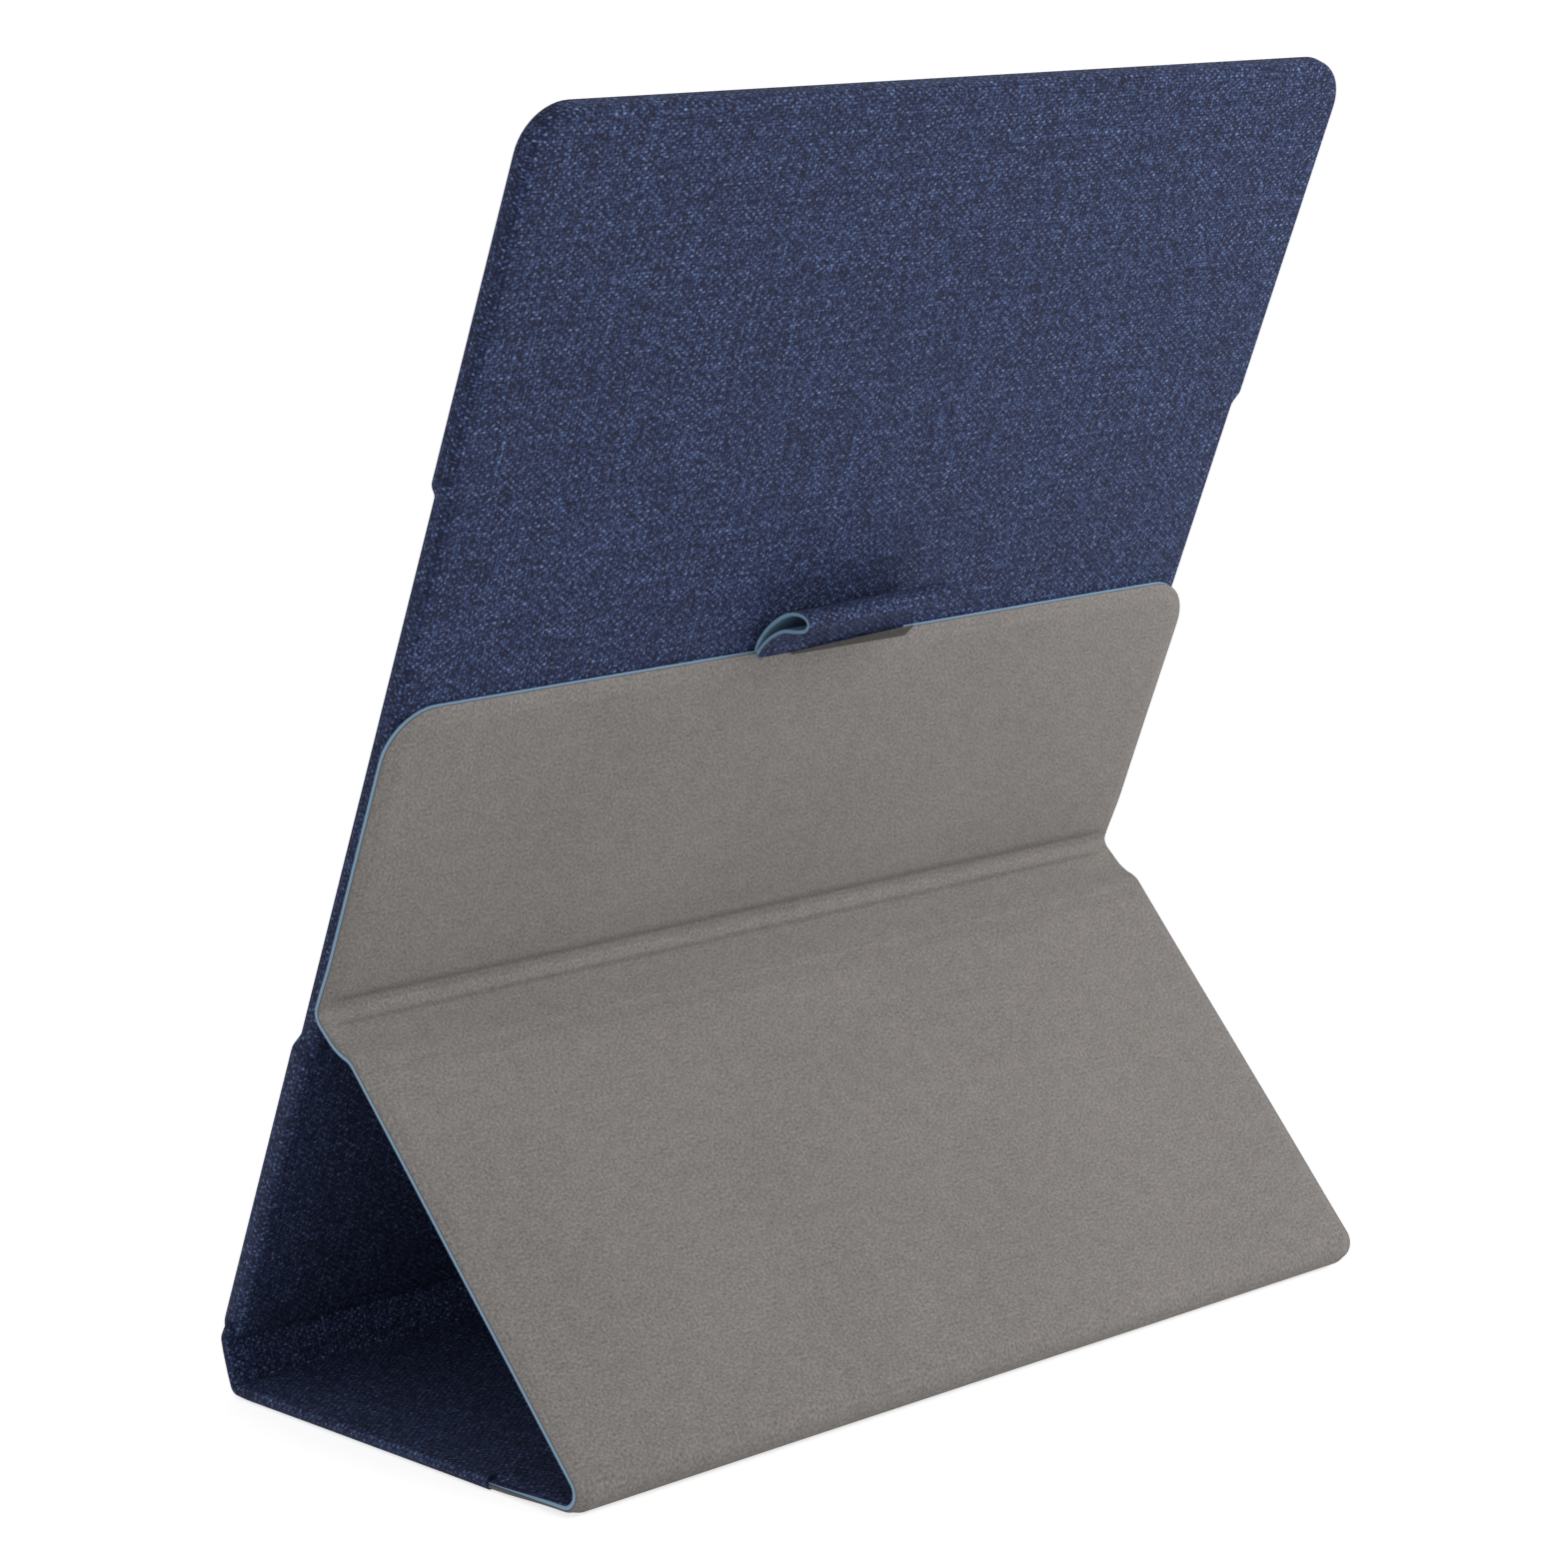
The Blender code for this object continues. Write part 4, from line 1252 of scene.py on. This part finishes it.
# %% Pen loop
LOOP_NEAR = 17.0 * MM
LOOP_FAR = -19.4 * MM
LOOP_CLIMB = 1.3 * MM


def swept(name, offsets, start, end, side, reverse, cut, slot):
    """Sweeps an outline, given as offsets from the path, along a straight path."""
    way = (end - start).normalized()
    first = Vector((way.y, -way.x, 0.0)).normalized()
    second = way.cross(first)
    count = len(offsets)
    outline = bpy.data.meshes.new(name + "_outline")
    outline.from_pydata([(spot.dot(first), spot.dot(second), 0.0) for spot in offsets],
                        [(index, (index + 1) % count) for index in range(count)], [])
    values = {"Start": start, "End": end, "Half": half_round(offsets)}
    values.update({"Side": side, "Reverse": reverse, "Cut": cut})
    return run_group(name, outline, sweep, values)


up_flap = flap.along(flap.length)
from_back = -flap.skinward(flap.length)
loop_start = flap.at(LOOP_NEAR, flap.length, 0.0)
loop_end = flap.at(LOOP_FAR, flap.length, 0.0) + up_flap * LOOP_CLIMB
loop = swept("loop_strip", [from_back * spot.x + up_flap * spot.y for spot in drop], loop_start, loop_end,
             skin, loop_edge, loop_edge, "skin")
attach(loop, "flap")
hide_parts("pen_loop")

# %% [markdown]
# Beside the loop the lining carries a narrow lip that covers the loop's root. It starts at nothing
# near the middle and grows towards the far end, where it is cut off square. It is a small sheet that
# leans out a little more the higher it stands.

# %% Lip over the loop's root
LIP_WALL = 0.35 * MM
LIP_FOOT = -1.3 * MM
LIP_TOP = -0.75 * MM
LIP_GROWTH = 2.2 * MM
LIP_OUT = 0.75 * MM
LIP_COLUMNS = 24
LIP_RUNGS = 5

sheet = Sheet()
rows = []
for step in range(LIP_COLUMNS + 1):
    share = step / LIP_COLUMNS
    x = LIP_START + (LIP_END - LIP_START) * share
    top = LIP_TOP + LIP_GROWTH * share ** 0.8
    row = []
    for rung in range(LIP_RUNGS + 1):
        up = LIP_FOOT + (top - LIP_FOOT) * rung / LIP_RUNGS
        s = flap.length + up
        out = LIP_OUT + 0.5 * (up + 1.0 * MM)
        row.append(sheet.add(flap.at(x, s, -out), flap.at(x, s, LIP_WALL - out), (x, flap.developed(s))))
    rows.append(row)
sheet.quads(rows)
# The lip's darker suede is painted shade under the pen loop.
lip = sheet.close("loop_lip", [lip_shade_lining, lining_edge], "lining")
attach(lip, "flap")
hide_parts("loop_tab")

# %% [markdown]
# ## The elastic corners
# On the tablet side an elastic band crosses each corner. The photograph shows the other side, so the
# bands are drawn plainly, as such cases have them. Their cloth is the same weave group, finer and darker.

# %% Elastic material
ELASTIC_PITCH = 0.34 * MM


def make_elastic():
    material, net, shader = new_material("elastic_band")
    threads = woven(net, ELASTIC_PITCH)[1]
    dark = net.ramp(net.sums("ADD", threads["Shade"], 0.5), [(0.3, (20, 24, 40)), (0.7, (46, 54, 80))])
    ribs = net.bump(threads["Height"], strength=0.5, distance=0.1 * MM)
    net.feed(shader, {"Base Color": dark, "Normal": ribs, "Roughness": 0.7})
    return material


elastic = make_elastic()
print("made", elastic.name)

# %% [markdown]
# A band is the sweep of a flat outline whose two faces are scalloped into ribs. It runs straight from
# one side of a corner to the other and lies on the lining. The places for two rows of stitches at each
# end are noted on the way.

# %% Elastic bands
STRAP_WIDTH = 10.0 * MM
STRAP_WALL = 0.8 * MM
STRAP_RIBS = 10
RIB_STEPS = STRAP_RIBS * 6
RIB_HEIGHT = 0.18 * MM
RIB_FOOT = STRAP_WALL / 2 - 0.2 * MM
STRAP_MIDDLE = -4.3 * MM
STRAP_EDGE = 7.0 * MM
STRAP_FOOT = 7.9 * MM
STRAP_REACH = 40.4 * MM
ROW_PLACES = (1.6 * MM, 3.4 * MM)
ROW_HALF = 0.44 * STRAP_WIDTH
THREAD_SINK = 0.36 * MM


def ribbed_outline(across, away):
    offsets = []
    for face in (1.0, -1.0):
        for step in range(RIB_STEPS + 1):
            share = step / RIB_STEPS
            rib = abs(math.sin(share * STRAP_RIBS * math.pi)) * RIB_HEIGHT
            offsets.append((across * (share - 0.5) * STRAP_WIDTH + away * (RIB_FOOT + rib)) * face)
    return offsets


stitch_rows = []
half = BACK_HALF - STRAP_EDGE
for zone, edge, inward in (("lower", STRAP_FOOT, 1.0), ("upper", back.length - STRAP_EDGE, -1.0)):
    for side, sign in (("right", -1.0), ("left", 1.0)):
        first = back.at(sign * half, edge + inward * STRAP_REACH, STRAP_MIDDLE)
        last = back.at(sign * (half - STRAP_REACH), edge, STRAP_MIDDLE)
        start, end = (first, last) if sign > 0 else (last, first)
        way = (end - start).normalized()
        across = outward.cross(way)
        strap = swept(f"strap_{zone}_{side}", ribbed_outline(across, outward), start, end,
                      elastic, elastic, elastic, "elastic")
        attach(strap, "back")
        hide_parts(f"corner_strap_{zone}_{side}")
        for root, inside in ((start, way), (end, -way)):
            for place in ROW_PLACES:
                low = root + inside * place - outward * THREAD_SINK
                stitch_rows.append((low - across * ROW_HALF, low + across * ROW_HALF))

# %% [markdown]
# The stitches repeat, so Geometry Nodes lays them: every row is an edge of a small mesh, which is
# turned into a curve, cut into equal steps, and given one short thread at each step.

# %% Stitches
STITCH_STEP = 1.5 * MM
THREAD_RADIUS = 0.17 * MM
STITCH_SHAPE = (3.4, 1.0, 1.0)
STITCH_INPUTS = {"Geometry": "Geometry", "Step": "Float", "Thread": "Float", "Material": "Material"}


def make_stitcher():
    net, given, result = new_group("stitcher", "GeometryNodeTree", STITCH_INPUTS, {"Geometry": "Geometry"})
    rows = net.get("GeometryNodeMeshToCurve", {"Mesh": given["Geometry"]})
    steps = net.get("GeometryNodeResampleCurve", {"Curve": rows, "Length": given["Step"]}, mode="LENGTH")
    thread = net.get("GeometryNodeMeshUVSphere", {"Segments": 8, "Rings": 6, "Radius": given["Thread"]})
    dyed = net.get("GeometryNodeSetMaterial", {"Geometry": thread, "Material": given["Material"]})
    tangent = net.get("GeometryNodeInputTangent")
    turn = net.get("FunctionNodeAlignRotationToVector", {"Vector": tangent}, axis="X")
    laid = net.get("GeometryNodeInstanceOnPoints", {
        "Points": steps, "Instance": dyed, "Rotation": turn, "Scale": STITCH_SHAPE})
    net.feed(result, {"Geometry": net.get("GeometryNodeRealizeInstances", {"Geometry": laid})})
    return net.tree


def make_plain(name, dark, light, scale, roughness, detail=4.0, metallic=0.0):
    """A material of one colour with a fine cloud in it."""
    material, net, shader = new_material(name)
    place = net.add("ShaderNodeTexCoord").outputs["Object"]
    colour = net.ramp(net.noise(place, scale, detail), [(0.3, dark), (0.7, light)])
    net.feed(shader, {"Base Color": colour, "Roughness": roughness, "Metallic": metallic})
    return material


dye = make_plain("thread", (34, 40, 62), (70, 80, 110), scale=5200.0, roughness=0.6, detail=2.0)
rows_mesh = bpy.data.meshes.new("stitch_rows")
ends = [spot for row in stitch_rows for spot in row]
rows_mesh.from_pydata(ends, [(index, index + 1) for index in range(0, len(ends), 2)], [])
stitches = run_group("strap_stitches", rows_mesh, make_stitcher(),
                     {"Step": STITCH_STEP, "Thread": THREAD_RADIUS, "Material": dye})
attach(stitches, "back")

# %% [markdown]
# ## The layers inside
# The boards, the foam, the magnets and the steel keepers stay as packed. They are hidden when the case
# is whole, but they are dressed too, for anyone who takes it apart.

# %% Hidden layers
greyboard = make_plain("greyboard", (112, 106, 98), (150, 143, 134), scale=1400.0, roughness=0.9)
foam = make_plain("foam", (70, 72, 78), (98, 100, 106), scale=2600.0, roughness=0.95)
plated = make_plain(
    "plated_steel", (150, 150, 152), (180, 180, 182), scale=600.0, roughness=0.35, metallic=1.0)
inside = {"board": greyboard, "padding": foam, "magnet": plated, "keeper": plated}
for name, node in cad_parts.items():
    for word, material in inside.items():
        if word in name.split("_"):
            node.material_slots[0].material = material
print("dressed", [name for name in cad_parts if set(name.split("_")) & set(inside)])

# %% [markdown]
# ## The floor and the light
# The floor is nearly white. It keeps the case's soft shadow, and a little light of its own, seen only
# by the camera and in reflections, lifts it to the white of the photograph. The light is an even sky
# with three soft lamps: a large one above and to the right of the camera's view, a small one close to
# the case on the right, and one on the left that reaches into the open end of the stand.

# %% Floor, world and lamps
FLOOR_HALF = 6.0
FLOOR_DROP = 0.2 * MM
FLOOR_GREY = 0.86
FLOOR_LIFT = 0.72
SKY = 0.42
WHITE = (1.0, 1.0, 1.0, 1.0)


def camera_sees(net):
    """1 for rays that come from the camera, a mirror or glass, and 0 for the rays that light things."""
    path = net.add("ShaderNodeLightPath").outputs
    seen = net.sums("MAXIMUM", path["Is Camera Ray"], path["Is Glossy Ray"])
    return net.sums("MAXIMUM", seen, path["Is Transmission Ray"])


shape = bmesh.new()
bmesh.ops.create_grid(shape, x_segments=2, y_segments=2, size=FLOOR_HALF)
floor_mesh = bpy.data.meshes.new("floor")
shape.to_mesh(floor_mesh)
shape.free()
floor = put_in_scene("floor", floor_mesh)
floor.location.z = -FLOOR_DROP
paint, net, shader = new_material("pale_floor")
net.feed(shader, {
    "Base Color": (FLOOR_GREY, FLOOR_GREY, FLOOR_GREY, 1.0), "Roughness": 1.0, "Specular IOR Level": 0.0,
    "Emission Color": WHITE, "Emission Strength": net.sums("MULTIPLY", camera_sees(net), FLOOR_LIFT)})
floor_mesh.materials.append(paint)

world = bpy.data.worlds.new("studio")
world.use_nodes = True
bpy.context.scene.world = world
net = Net(world.node_tree)
strength = net.sums("MULTIPLY_ADD", camera_sees(net), 1.0 - SKY, SKY)
net.feed(world.node_tree.nodes["Background"], {"Color": WHITE, "Strength": strength})


def soft_lamp(name, size, power, place):
    lamp = bpy.data.lights.new(name, "AREA")
    lamp.shape = "DISK"
    lamp.size = size
    lamp.energy = power
    made = put_in_scene(name, lamp)
    made.location = middle + place
    made.rotation_euler = (-place).to_track_quat("-Z", "Y").to_euler()


middle = Vector((0.0, 0.0, 0.09))
soft_lamp("key", size=1.8, power=11.8, place=level * 1.15 + Vector((0.0, 0.9, 1.35)))
soft_lamp("side", size=0.4, power=1.0, place=level * 0.35 + Vector((0.0, 0.11, 0.2)))
soft_lamp("rim", size=0.9, power=2.6, place=Vector((1.25, 0.45, 0.27)))
bpy.context.scene.view_settings.view_transform = "Standard"
print("floor, sky and lamps set")
